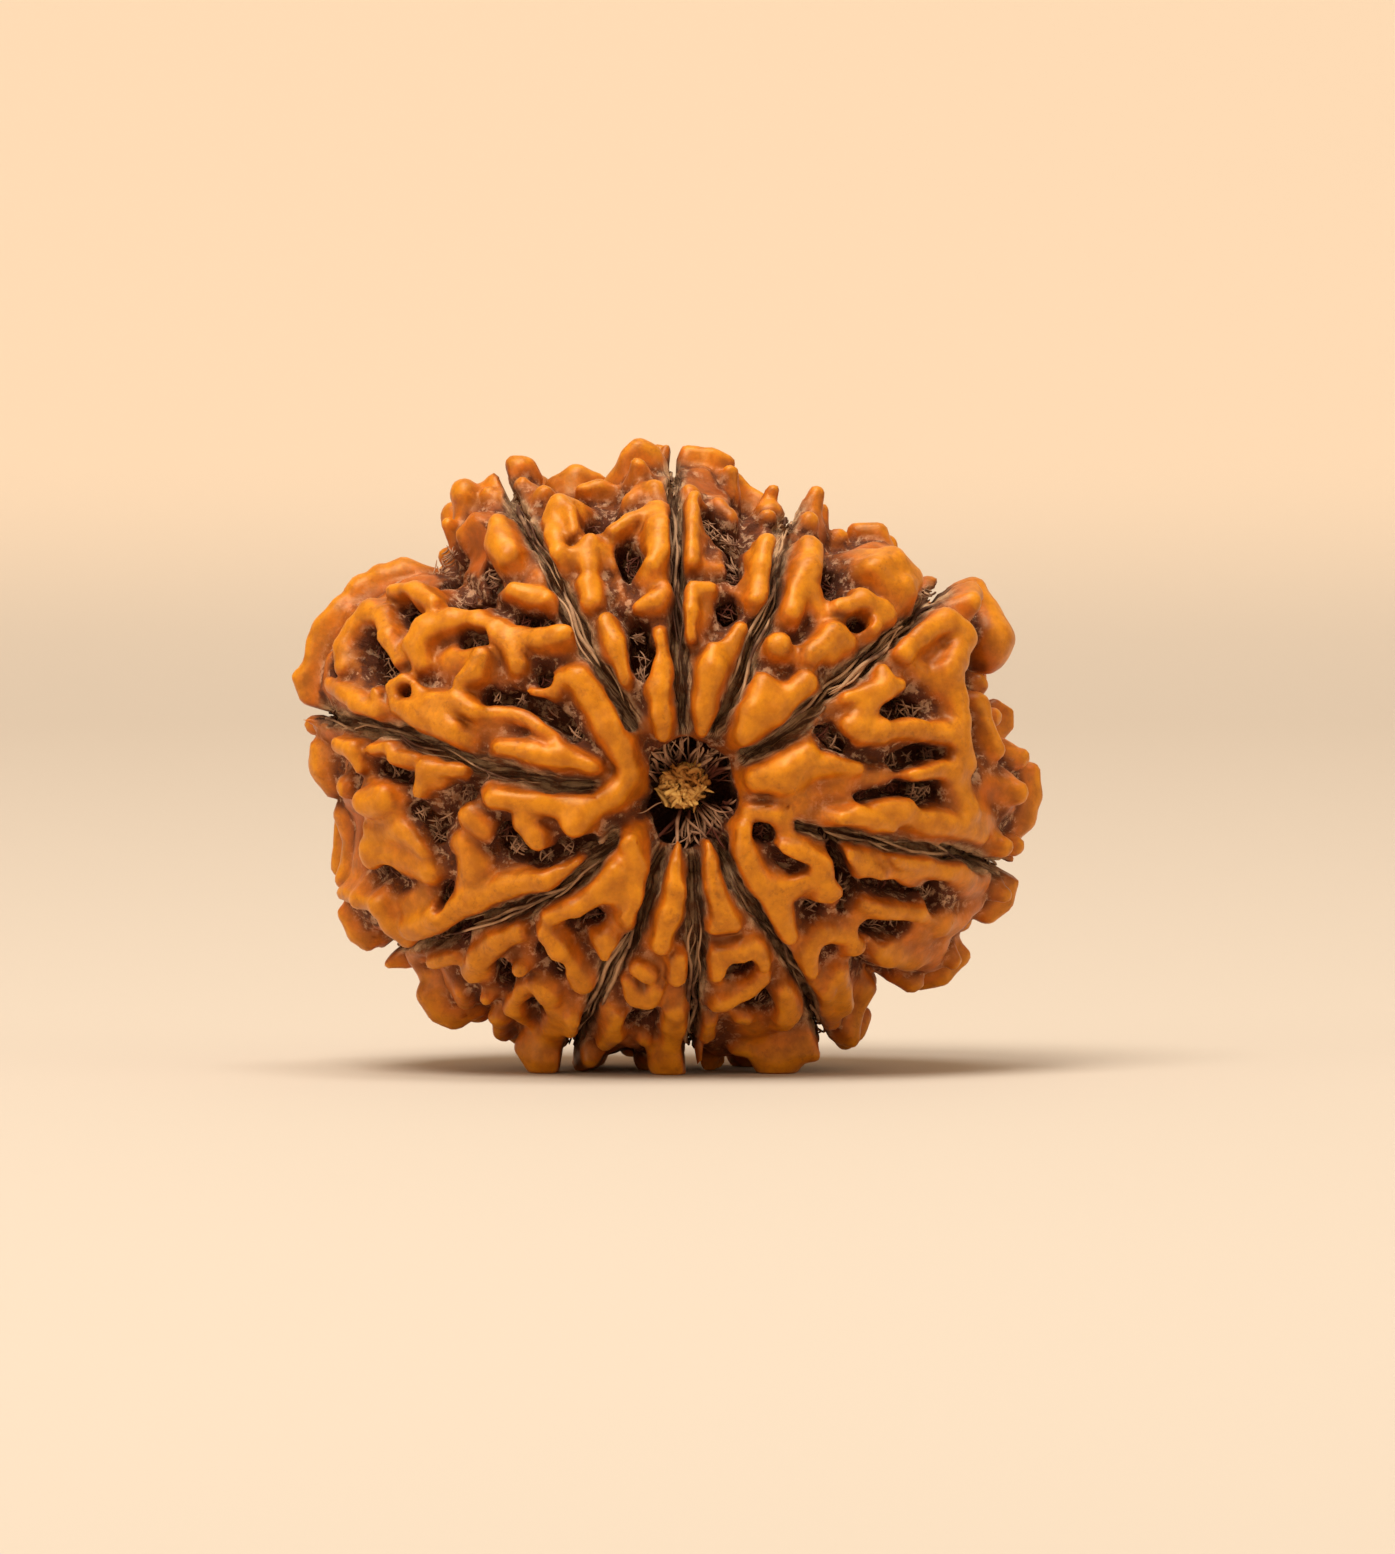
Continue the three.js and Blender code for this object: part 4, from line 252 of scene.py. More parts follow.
# Lobes that stand up at the rim or behind it: how far behind the seed's middle plane they are (a
# minus sign puts them before it), then their path.
RIM_LOBES = [
  [-1.2, [-1.3, 22.1, 0.4], [-0.95, 22.35, 0.38], [-0.5, 22.15, 0.4]],
  [0.6, [-3.9, 21.1, 0.42], [-3.2, 21.3, 0.45], [-2.5, 21.1, 0.42]],
  [-2.2, [-3.0, 20.9, 0.28], [-2.4, 20.95, 0.3], [-1.7, 20.85, 0.28]],
  [0.2, [0.1, 22.25, 0.36], [0.9, 22.1, 0.36], [1.6, 22.0, 0.36], [2.1, 21.8, 0.34]],
  [-0.6, [2.3, 21.4, 0.34]],
  [-1.0, [3.75, 20.0, 0.48]],
  [-0.6, [3.84, 20.85, 0.17]],
  [-0.5, [5.35, 20.65, 0.38]],
  [0.9, [5.65, 20.1, 0.34]],
  [0.6, [7.0, 19.25, 0.5], [7.6, 19.25, 0.5]],
  [1.4, [10.5, 17.0, 0.5], [11.0, 17.1, 0.58], [11.3, 16.4, 0.58], [11.3, 15.8, 0.5]],
  [1.6, [11.3, 14.65, 0.34], [11.3, 13.9, 0.34]],
  [0.8, [11.25, 13.3, 0.4], [11.35, 12.6, 0.34]],
  [2.2, [11.9, 13.1, 0.24], [12.3, 12.75, 0.24], [12.5, 12.35, 0.2]],
  [-0.4, [12.8, 11.25, 0.42]],
  [-0.6, [11.6, 11.2, 0.36]],
  [0.8, [13.1, 10.6, 0.38], [13.1, 9.8, 0.42], [12.85, 9.0, 0.48], [12.5, 8.5, 0.38]],
  [0.9, [12.2, 7.4, 0.4], [12.4, 6.8, 0.36], [12.15, 6.2, 0.36], [11.6, 5.6, 0.34]],
  [1.0, [10.6, 4.1, 0.36], [10.2, 3.6, 0.3]],
  [0.8, [9.9, 3.4, 0.36], [9.1, 3.3, 0.36], [8.6, 3.35, 0.36]],
  [0.9, [7.05, 1.9, 0.36], [6.8, 1.3, 0.4], [6.5, 1.0, 0.34]],
  [-2.6, [2.6, 1.0, 0.4], [3.6, 0.85, 0.42], [4.6, 0.75, 0.42], [5.3, 0.75, 0.36]],
  [-1.8, [-4.9, 0.95, 0.46], [-4.5, 0.6, 0.46]],
  [-1.0, [-8.4, 2.8, 0.5], [-8.1, 2.3, 0.44], [-7.6, 2.05, 0.42], [-6.7, 2.3, 0.4]],
  [0.6, [-9.3, 3.85, 0.32], [-9.8, 3.9, 0.32], [-10.0, 4.4, 0.34]],
  [0.2, [-11.5, 5.6, 0.34], [-11.1, 5.0, 0.36], [-10.8, 4.65, 0.36]],
  [-0.6, [-11.4, 9.4, 0.45], [-11.15, 8.6, 0.45], [-11.15, 7.8, 0.48], [-11.4, 7.0, 0.48]],
  [-0.8, [-12.35, 11.6, 0.45], [-12.35, 10.9, 0.5], [-12.0, 10.4, 0.42]],
  [-0.9, [-12.9, 12.8, 0.2]],
  [-0.5, [-13.25, 14.2, 0.22], [-12.8, 14.5, 0.34], [-12.5, 15.4, 0.4], [-12.2, 16.1, 0.42],
    [-11.7, 16.7, 0.42]],
  [-0.2, [-11.7, 16.7, 0.42], [-11.1, 17.3, 0.46], [-10.2, 17.7, 0.48], [-9.4, 17.9, 0.46],
    [-8.4, 17.8, 0.4]],
  [-0.8, [-7.2, 20.65, 0.6]],
  [-1.4, [-6.4, 20.85, 0.3]],
  [-1.6, [-7.75, 19.65, 0.26]],
  [-2.4, [-7.1, 19.25, 0.34]],
  [-2.2, [-7.2, 18.45, 0.28]],
  [-0.6, [-5.5, 21.65, 0.42], [-5.1, 21.55, 0.42], [-4.75, 21.2, 0.36]],
  [-2.0, [-5.1, 21.1, 0.3], [-4.7, 20.7, 0.32], [-4.4, 20.4, 0.3]],
  [0.4, [-6.0, 21.2, 0.28]],
]

# Pits and slots between the lobes of the front: how deep they go under the crown, then their path.
HOLES = [
  [3.4, [-2.5, 20.3, 0.34], [-2.1, 20.25, 0.24]],
  [2.2, [-1.3, 19.2, 0.3], [-1.15, 18.9, 0.3]],
  [2.8, [-0.95, 16.3, 0.22], [-0.85, 15.4, 0.26], [-0.9, 14.8, 0.2]],
  [3.0, [1.6, 20.6, 0.26], [1.8, 20.3, 0.26]],
  [2.6, [2.4, 20.0, 0.24], [2.6, 19.8, 0.24]],
  [2.0, [2.5, 18.9, 0.2], [2.55, 18.5, 0.2]],
  [2.4, [2.35, 17.25, 0.28]],
  [2.3, [7.15, 16.45, 0.22]],
  [3.0, [6.3, 18.7, 0.22], [6.2, 18.1, 0.3], [6.35, 17.75, 0.26]],
  [2.4, [8.4, 13.2, 0.22], [9.1, 13.45, 0.3], [9.6, 13.3, 0.22]],
  [2.2, [8.7, 11.35, 0.14], [9.4, 11.55, 0.22], [10.2, 11.6, 0.14]],
  [2.4, [9.5, 10.05, 0.28], [9.95, 10.1, 0.26]],
  [1.8, [7.4, 10.1, 0.14], [8.6, 10.35, 0.14], [9.4, 10.2, 0.14]],
  [2.0, [6.0, 12.5, 0.2], [6.5, 12.1, 0.2]],
  [1.6, [3.7, 8.7, 0.28]],
  [1.0, [3.9, 8.2, 0.12], [4.4, 7.7, 0.16], [4.9, 7.6, 0.1]],
  [2.4, [10.0, 6.4, 0.26], [9.95, 6.0, 0.28]],
  [2.0, [7.3, 6.85, 0.16], [8.2, 6.6, 0.2], [9.3, 6.35, 0.16]],
  [2.6, [7.5, 5.05, 0.26], [8.1, 4.95, 0.34], [8.7, 4.95, 0.28]],
  [2.0, [5.6, 5.85, 0.24]],
  [2.6, [6.1, 8.2, 0.12], [6.4, 7.3, 0.16], [6.7, 6.6, 0.2], [6.6, 6.0, 0.16]],
  [2.6, [2.35, 3.45, 0.18], [2.9, 3.6, 0.24]],
  [2.4, [3.4, 2.4, 0.2], [3.6, 2.1, 0.22], [2.6, 2.15, 0.14]],
  [2.6, [-1.1, 1.45, 0.26], [-0.7, 1.5, 0.24]],
  [2.4, [-3.1, 5.45, 0.28], [-2.7, 5.5, 0.24]],
  [2.2, [-4.5, 4.3, 0.2], [-4.1, 3.9, 0.24], [-3.95, 3.4, 0.16]],
  [2.8, [-6.1, 3.6, 0.16], [-6.0, 2.9, 0.26]],
  [2.4, [-4.8, 2.0, 0.28]],
  [2.4, [-8.6, 4.35, 0.12], [-7.6, 4.6, 0.2]],
  [1.2, [-11.0, 6.9, 0.16], [-10.3, 7.05, 0.2], [-9.8, 6.65, 0.1]],
  [2.3, [-5.9, 8.6, 0.24], [-5.6, 8.15, 0.2]],
  [1.9, [-5.5, 7.95, 0.14], [-4.5, 7.75, 0.18], [-3.6, 8.1, 0.2], [-2.4, 8.5, 0.16]],
  [1.5, [-8.1, 6.55, 0.1], [-8.2, 6.05, 0.12]],
  [1.7, [-9.3, 9.35, 0.2], [-8.8, 8.9, 0.22], [-8.6, 8.4, 0.16]],
  [1.3, [-6.7, 10.7, 0.14], [-7.5, 10.1, 0.16], [-8.3, 9.3, 0.16]],
  [2.0, [-10.4, 10.9, 0.22], [-9.6, 10.7, 0.2]],
  [1.5, [-7.2, 15.85, 0.3], [-6.7, 15.9, 0.22]],
  [2.0, [-6.4, 13.9, 0.2], [-5.4, 13.8, 0.16], [-4.3, 13.3, 0.2], [-3.4, 12.5, 0.16]],
  [2.0, [-4.4, 14.45, 0.24]],
  [2.8, [-10.95, 15.7, 0.36], [-10.75, 15.0, 0.42], [-10.3, 14.6, 0.3]],
  [3.0, [-8.7, 18.9, 0.3], [-8.4, 19.4, 0.3]],
  [2.2, [-9.6, 16.9, 0.26], [-9.35, 16.5, 0.18]],
  [1.6, [-9.35, 13.85, 0.16]],
  [2.6, [-7.8, 17.6, 0.2], [-7.3, 17.6, 0.24], [-7.0, 17.1, 0.14]],
  [2.2, [-6.75, 18.75, 0.2], [-6.6, 18.3, 0.2]],
  [2.0, [-5.3, 16.75, 0.16], [-4.5, 16.6, 0.2]],
  [1.3, [-12.25, 14.7, 0.14]],
]

# The low lobes that the seed stands on: [across, how far behind the middle, height, half width].
FEET = [
  [0.3, -3.0, 0.62, 1.0],
  [-4.2, -2.0, 0.62, 0.95],
  [4.0, -2.2, 0.62, 0.95],
  [-3.0, 2.6, 0.62, 0.95],
  [3.1, 2.4, 0.62, 0.95],
  [-0.08, 0.1, 0.6, 1.1],
]
FOOT_DEPTH = 2.0

# The far side's lobes follow a rule: rows from the rim to the tip, knobs across each row. A knob is
# left out where it would run into a lobe of the lists above.
BACK = {
  "firstAngle": 76,
  "lastAngle": 164,
  "rowGap": 1.75,
  "columnGap": 1.6,
  "halfWidth": [0.45, 0.72],
  "jitter": 0.45,
  "joinShare": 0.5,
  "sideShare": 0.3,
  "apart": 0.05,
}
# The middle of the finished outline, which is moved to the origin: [across, back].
MIDDLE = [0.1229, 0.0113]

# The space round the seed that is sampled: its lowest and highest corner, the size of its cubes, and
# how far round a lobe and round a cut the distances are worked out, with what stands for far away.
BLOCK = {"low": [-14.4, -10.65, -0.75], "high": [14.4, 10.65, 23.7], "step": 0.14}
REACH = {"lobe": 0.7, "cut": 1.2, "far": 9}
# The surface is drawn together to this many triangles.
FINE_TRIANGLES = 192000
# How far out from the surface its openness is read, close by and further out.
OPENNESS = {"near": 0.3, "far": 0.9}
# The grown surface wanders by this much, and is uneven all over, and more so in its fibre:
# (how fine, how high, where the noise is read).
WANDER = {"scale": 0.55, "by": 0.16}
UNEVENNESS = [(1.7, 0.05, 50), (4.0, 0.02, 70), (0.8, 0.09, 20)]
FIBRE_UNEVENNESS = {"place": (2.6, 0.13, 30), "grain": (3.0, 0.1, 90)}
# Fibre runs round the axis in finer steps than along it.
GRAIN = {"round": 9, "along": 1.6}

# Loose strands lie along every cleft: how many, how thick, how long, how far across it and how far
# under the crown they lie, how they wave, and the number of their first random draw.
CLEFT_STRANDS = {
    "count": 22, "radius": (0.03, 0.08), "length": (2.0, 6.0), "across": 0.24, "under": (0.62, 1.15),
    "points": 22, "waveAcross": 0.25, "waveUp": 0.3, "draw": 7001,
}
# Short ones lie across the pits and slots.
HOLE_STRANDS = {
    "count": 11, "radius": (0.018, 0.036), "reach": (0.25, 0.8), "under": (0.95, 1.45), "draw": 3001,
}
# Others run from the plug out to the rim of the open pit, from a little under the plug's top to a
# little over it.
PIT_STRANDS = {
    "count": 150, "radius": (0.02, 0.08), "inner": (0.4, 1.4), "outer": (1.5, 2.5), "sink": 0.7,
    "rise": 0.9, "points": 12, "draw": 9001,
}
# The open pit stays empty towards these bearings, in degrees, this far to each side of them.
PIT_VOIDS = {"bearings": (190, 224, 4), "reach": 24}
# The heap on the plug rises over its top, and less so away from its middle.
PLUG_STRANDS = {
    "count": 170, "radius": (0.05, 0.11), "reach": (0.15, 0.4), "rise": (0.1, 0.7), "spread": 0.85,
    "dome": 0.45, "draw": 5001,
}
# A strand is a tube of this many sides, and a short one has this many points along it.
STRAND = {"sides": 5, "points": 8}

# The camera: its lens, its distance in metres, its height in degrees, and [across, up] where it aims.
CAMERA = {"lens": 386.0, "distance": 0.6, "elevation": 2.2, "aim": (1.15, 10.55)}

# Lights: name, place, aim and size in metres, power, colour.
LIGHTS = [
    ("key", (-0.14, -0.24, 0.5), (0, 0, 0.01), 0.28, 2.45, (1.0, 0.94, 0.84)),
    ("left", (-0.5, -0.35, 0.15), (0, 0, 0.01), 0.3, 0.5, (1.0, 0.92, 0.8)),
    ("right", (0.5, -0.3, 0.2), (0, 0, 0.01), 0.3, 0.35, (1.0, 0.92, 0.8)),
    ("backdrop", (0.0, 0.0, 0.9), (0, 0.75, 0.25), 0.5, 5.2, (1.0, 0.98, 0.95)),
]
AIR_STRENGTH = 0.52
# The floor and backdrop, in metres: how far it comes forward, where its mesh is split and where it
# starts to bend up, the radius and steps of the bend, its top, half its width, and how high up the
# floor's colour has changed to the backdrop's.
SWEEP = {
    "front": -1.6, "split": 0.1, "bend": 0.35, "radius": 0.4, "steps": 12, "top": 1.8, "half": 1.5,
    "fade": 0.014,
}


def linear(*rgb):
    """An sRGB colour, 0 to 255, as Blender's linear one."""
    return (*[v / 255 / 12.92 if v < 11 else ((v / 255 + 0.055) / 1.055) ** 2.4 for v in rgb], 1.0)


COLOURS = {
    "crest": linear(202, 122, 12),
    "slope": linear(178, 88, 10),
    "web": linear(140, 62, 14),
    # the dark of the fibre between its pale flecks, also used as painted shade in the creases and in the
    # open pit
    "deep": linear(84, 38, 24),
    "fibreDark": linear(84, 52, 36),
    "fibreLight": linear(190, 150, 114),
    "fleck": linear(178, 136, 106),
    "pore": linear(140, 66, 14),
    "straw": linear(232, 184, 104),
    "strawDark": linear(166, 106, 44),
    "floor": linear(201, 189, 176),
    "backdrop": linear(228, 208, 186),
    "air": linear(250, 226, 186),
}
# How fine the shell's mottling is, in waves to the metre. The streaks follow the grain instead.
FINENESS = {
    "patches": 260, "mottle": 620, "speckle": 1500, "flake": 2400, "pores": 4200, "streaks": 3.4,
    "bump": 1000, "fineBump": 6000, "fibre": 700,
}


def unit(v):
    return v / np.linalg.norm(v)


def mix(a, b, t):
    return a + (b - a) * t


def chance(n):
    """A repeatable number from 0 to 1 for any whole number."""
    v = math.sin(n * 127.1 + 311.7) * 43758.5453
    return v - math.floor(v)


def nearest_whole(v):
    return math.floor(v + 0.5)


def soft_min(a, b, k):
    h = np.maximum(k - np.abs(a - b), 0) / k
    return np.minimum(a, b) - h * h * k / 4


def soft_max(a, b, k):
    return -soft_min(-a, -b, k)


def from_axis(x, z):
    """How far a place is from the axis of the open pit."""
    return np.hypot(x - PIT["x"], z - PIT["z"])


def bearing_of(x, z):
    """A place's bearing about that axis."""
    return np.arctan2(z - PIT["z"], x - PIT["x"])


def dip_at(x, z, end):
    d = from_axis(x, z) / end["dipReach"]
    return end["dip"] * np.exp(-d * d)


CROWN_CENTRE = np.array(CROWN["centre"], float)
CROWN_HALF = np.array(CROWN["half"], float)


def outward(point):
    return unit((np.asarray(point, float) - CROWN_CENTRE) / CROWN_HALF**2)


def crown_point(x, z):
    """The point of the crown that is seen at (x, z) from the side of the open pit."""
    u = (x - CROWN_CENTRE[0]) / CROWN_HALF[0]
    v = (z - CROWN_CENTRE[2]) / CROWN_HALF[2]
    reach = CROWN_HALF[1] * math.sqrt(max(0.0, 1 - u * u - v * v))
    return np.array([x, -max(0.0, reach - dip_at(x, z, PIT)), z])


def plate(a, b, ra, rb, inward, depth, shaped):
    """A thick wall under the line from a to b that goes down along inward."""
    along = b - a
    run = float(along @ along)
    down = inward
    if run > 1e-9:
        down = unit(inward - along * float(inward @ along) / run)
    return {
        "a": a, "along": along, "run": run, "ra": ra, "rb": rb,
        "down": down, "depth": depth, "shaped": shaped,
    }


def plate_distance(item, x, y, z):
    qx, qy, qz = x - item["a"][0], y - item["a"][1], z - item["a"][2]
    along, down = item["along"], item["down"]
    if item["run"] > 1e-9:
        t = np.clip((qx * along[0] + qy * along[1] + qz * along[2]) / item["run"], 0, 1)
    else:
        t = 0.0
    h = np.clip(qx * down[0] + qy * down[1] + qz * down[2], 0, item["depth"])
    gx = qx - along[0] * t - down[0] * h
    gy = qy - along[1] * t - down[1] * h
    gz = qz - along[2] * t - down[2] * h
    r = mix(item["ra"], item["rb"], t)
    if item["shaped"]:
        share = h / item["depth"]
        turn = LOBE["shoulderAt"]
        upper = mix(LOBE["crest"], LOBE["shoulder"], share / turn)
        lower = mix(LOBE["shoulder"], LOBE["root"], (share - turn) / (1 - turn))
        r = r * np.where(share < turn, upper, lower)
    return np.sqrt(gx * gx + gy * gy + gz * gz) - r


def plates_along(crests, lift, depth, shaped):
    """Plates along a path of crests (place, outward, half width). The tops of shaped ones touch them."""
    sunk = [at + out * (lift - (r * LOBE["crest"] if shaped else 0)) for at, out, r in crests]
    made = []
    for i in range(max(1, len(crests) - 1)):
        j = min(i + 1, len(crests) - 1)
        inward = -unit(crests[i][1] + crests[j][1])
        made.append(plate(sunk[i], sunk[j], crests[i][2], crests[j][2], inward, depth, shaped))
    return made


def front_crests(path):
    """The crests of a path of the front, on the crown."""
    places = [crown_point(x, z) for x, z, _ in path]
    return [(at, outward(at), point[2] * LOBE["widen"]) for at, point in zip(places, path)]


def uneven_crests(path):
    """The same, each a little higher or lower."""
    crests = []
    for (x, z, _), (at, out, r) in zip(path, front_crests(path)):
        n = nearest_whole(x * 20) * 7 + nearest_whole(z * 20) * 3
        crests.append((at + out * ((2 * chance(n) - 1) * UNEVEN), out, r))
    return crests


def rim_crests(behind, path):
    """The crests of a path at the rim, as far behind the middle plane as is said."""
    crests = []
    for x, z, r in path:
        out = outward([x, behind, z])
        crests.append((np.array([x, behind, z], float) + out * r, out, r * LOBE["widen"]))
    return crests


def cleft_line(path):
    """(angle from the pit, bearing about the axis) along a cleft, in radians."""
    line = []
    for x, z in path:
        line.append((math.atan2(from_axis(x, z), -crown_point(x, z)[1]), bearing_of(x, z)))
    return line


CLEFT_LINES = [cleft_line(path) for path in CLEFTS]
AXIS_POINT = np.array([PIT["x"], 0, PIT["z"]], float)


def bearing_at(line, angle):
    if angle <= line[0][0]:
        return line[0][1]
    for (angle0, bearing0), (angle1, bearing1) in zip(line, line[1:]):
        if angle <= angle1:
            return mix(bearing0, bearing1, (angle - angle0) / (angle1 - angle0))
    return line[-1][1]


def crown_at(angle, bearing):
    """Where the ray from the middle of the axis leaves the crown, and the way out there."""
    s = math.sin(angle)
    d = np.array([s * math.cos(bearing), -math.cos(angle), s * math.sin(bearing)])
    o = (AXIS_POINT - CROWN_CENTRE) / CROWN_HALF
    e = d / CROWN_HALF
    a, b = float(e @ e), float(o @ e)
    at = AXIS_POINT + d * (-b + math.sqrt(b * b - a * (float(o @ o) - 1))) / a
    out = outward(at)
    at[1] -= math.copysign(1, at[1]) * dip_at(at[0], at[2], TIP if at[1] > 0 else PIT)
    return at, out


def outline_reach():
    """How far the outline reaches against the crown: (bearings about the axis, shares)."""
    reach = []
    for x, z in OUTLINE:
        bearing = bearing_of(x, z)
        at = crown_at(math.pi / 2, bearing)[0]
        reach.append((bearing, from_axis(x, z) / from_axis(at[0], at[2])))
    return tuple(np.array(sorted(reach)).T)


REACH_BEARINGS, REACH_SHARES = outline_reach()


def share_at(bearing):
    return np.interp(bearing, REACH_BEARINGS, REACH_SHARES, period=2 * math.pi)


def crown_along(angle, bearing):
    """The same place, drawn in or out to the outline."""
    at, out = crown_at(angle, bearing)
    share = share_at(bearing_of(at[0], at[2]))
    return np.array([mix(PIT["x"], at[0], share), at[1], mix(PIT["z"], at[2], share)]), out


def sector_bearings(sector, angle):
    start = bearing_at(CLEFT_LINES[sector], angle)
    end = bearing_at(CLEFT_LINES[(sector + 1) % len(CLEFTS)], angle)
    return start, end - 2 * math.pi if end > start else end


def stands_apart(knob, others):
    at, out, r = knob
    x, y, z = at - out * r
    return all(plate_distance(item, x, y, z) > r + BACK["apart"] for item in others)


def back_paths(others):
    """The rule for the far side: rows from the rim to the tip, knobs across each row."""
    paths = []
    first, last = math.radians(BACK["firstAngle"]), math.radians(BACK["lastAngle"])
    rows = nearest_whole((last - first) * CROWN_HALF[1] * 1.1 / BACK["rowGap"])
    for sector in range(len(CLEFTS)):
        last_row = []
        for row in range(rows + 1):
            angle = first + (last - first) * row / rows
            start, end = sector_bearings(sector, angle)
            middle = crown_along(angle, (start + end) / 2)[0]
            width = (start - end) * from_axis(middle[0], middle[2])
            count = max(1, nearest_whole(width / BACK["columnGap"]))
            knobs = []
            for column in range(count):
                n = sector * 1009 + row * 101 + column * 11
                side = (column + 0.5 + (chance(n) - 0.5) * BACK["jitter"]) / count
                shift = (chance(n + 1) - 0.5) * BACK["jitter"] * (last - first) / rows
                at, out = crown_along(angle + shift, mix(start, end, side))
                narrow = min(1, width / count / 1.5)
                knob = (at, out, mix(*BACK["halfWidth"], chance(n + 2)) * narrow)
                knobs.append(knob if stands_apart(knob, others) else None)
                if knobs[-1] is None:
                    continue
                nearest = None
                if last_row:
                    nearest = last_row[min(len(last_row) - 1, nearest_whole(column / count * len(last_row)))]
                joined = nearest is not None and chance(n + 3) < BACK["joinShare"]
                paths.append([nearest, knob] if joined else [knob])
                before = knobs[column - 1] if column else None
                if before is not None and chance(n + 4) < BACK["sideShare"]:
                    paths.append([before, knob])
            last_row = knobs
    return paths


def all_lobes():
    made = []
    for lift, *path in FRONT_LOBES:
        made += plates_along(uneven_crests(path), lift, LOBE["depth"], True)
    for behind, *path in RIM_LOBES:
        made += plates_along(rim_crests(behind, path), 0, LOBE["depth"], True)
    for x, y, z, r in FEET:
        at = np.array([x, y, z], float)
        made.append(plate(at, at, r, r, np.array([0.0, 0.0, 1.0]), FOOT_DEPTH, False))
    for path in back_paths(made):
        made += plates_along(path, 0, LOBE["depth"], True)
    return made


def cleft_crests(path, line, r):
    """A cleft goes on over the rim and to the tip along the bearing that it has at the rim."""
    crests = front_crests([(x, z, r / LOBE["widen"]) for x, z in path])
    for degrees in CLEFT_BEYOND:
        crests.append((*crown_along(math.radians(degrees), line[-1][1]), r))
    return crests


class Block:
    """The space round the seed, sampled at the corners of small cubes."""

    def __init__(self):
        step = BLOCK["step"]
        self.step = step
        self.low = np.array(BLOCK["low"])
        # the ground lies half way up a layer of cubes
        self.low[2] = self.low[2] - step / 2 + (-self.low[2]) % step
        self.count = np.ceil((np.array(BLOCK["high"]) - self.low) / step).astype(int)
        self.axes = [self.low[i] + step * np.arange(self.count[i]) for i in range(3)]

    def everywhere(self):
        return self.window(self.low, self.low + self.step * self.count)

    def window(self, low, high):
        first = np.maximum(0, np.ceil((low - self.low) / self.step).astype(int))
        last = np.minimum(self.count, np.floor((high - self.low) / self.step).astype(int) + 1)
        part = tuple(slice(a, b) for a, b in zip(first, last))
        x, y, z = (axis[s].astype(np.float32) for axis, s in zip(self.axes, part))
        return part, x[:, None, None], y[None, :, None], z[None, None, :]

    def near(self, item, reach):
        """The part of the block within reach of a plate."""
        ends = [item["a"], item["a"] + item["along"]]
        ends += [end + item["down"] * item["depth"] for end in ends]
        spare = max(item["ra"], item["rb"]) * LOBE["root"] + reach
        return self.window(np.min(ends, axis=0) - spare, np.max(ends, axis=0) + spare)

    def sample(self, values, points):
        """The values at any points, between the grid's corners."""
        at = np.clip((points - self.low) / self.step, 0, self.count - 1.001)
        i = at.astype(int)
        f = at - i
        total = 0
        for n in range(8):
            o = np.array([n & 1, (n >> 1) & 1, n >> 2])
            weight = np.prod(np.where(o, f, 1 - f), axis=1)
            total = total + weight * values[tuple((i + o).T)]
        return total


def stone_distance(x, y, z):
    """The distance to the stone: an ellipsoid drawn in or out to the outline, with dips and swells."""
    share = share_at(bearing_of(x, z))
    place = (PIT["x"] + (x - PIT["x"]) / share, y, PIT["z"] + (z - PIT["z"]) / share)
    q = [(v - c) / h for v, c, h in zip(place, STONE["centre"], STONE["half"])]
    size = np.sqrt(q[0] ** 2 + q[1] ** 2 + q[2] ** 2)
    steep = np.sqrt(sum((v / h) ** 2 for v, h in zip(q, STONE["half"])))
    swell = SWELL * np.sin(2.0 * x + 1.1 * z) * np.sin(1.6 * z - 0.7 * x + 1.3 * y)
    dip = np.where(y < 0, dip_at(x, z, PIT), dip_at(x, z, TIP)) * np.clip(np.abs(y) / 3 - 1, 0, 1)
    return size * (size - 1) / np.maximum(steep, 1e-6) - swell + dip


def cleft_plates():
    """The cuts of all clefts, shallower beyond the rim."""
    made = []
    for path, line in zip(CLEFTS, CLEFT_LINES):
        crests = cleft_crests(path, line, CLEFT["halfWidth"])
        plates = plates_along(crests, CLEFT["proud"], CLEFT["depth"] + CLEFT["proud"], False)
        for item in plates[len(path) - 1:]:
            item["depth"] = CLEFT["farDepth"] + CLEFT["proud"]
        made += plates
    return made


def hole_plates():
    """The cuts of all pits and slots."""
    made = []
    for depth, *path in HOLES:
        depth = depth * HOLE["share"] + HOLE["proud"]
        made += plates_along(front_crests(path), HOLE["proud"], depth, False)
    return made


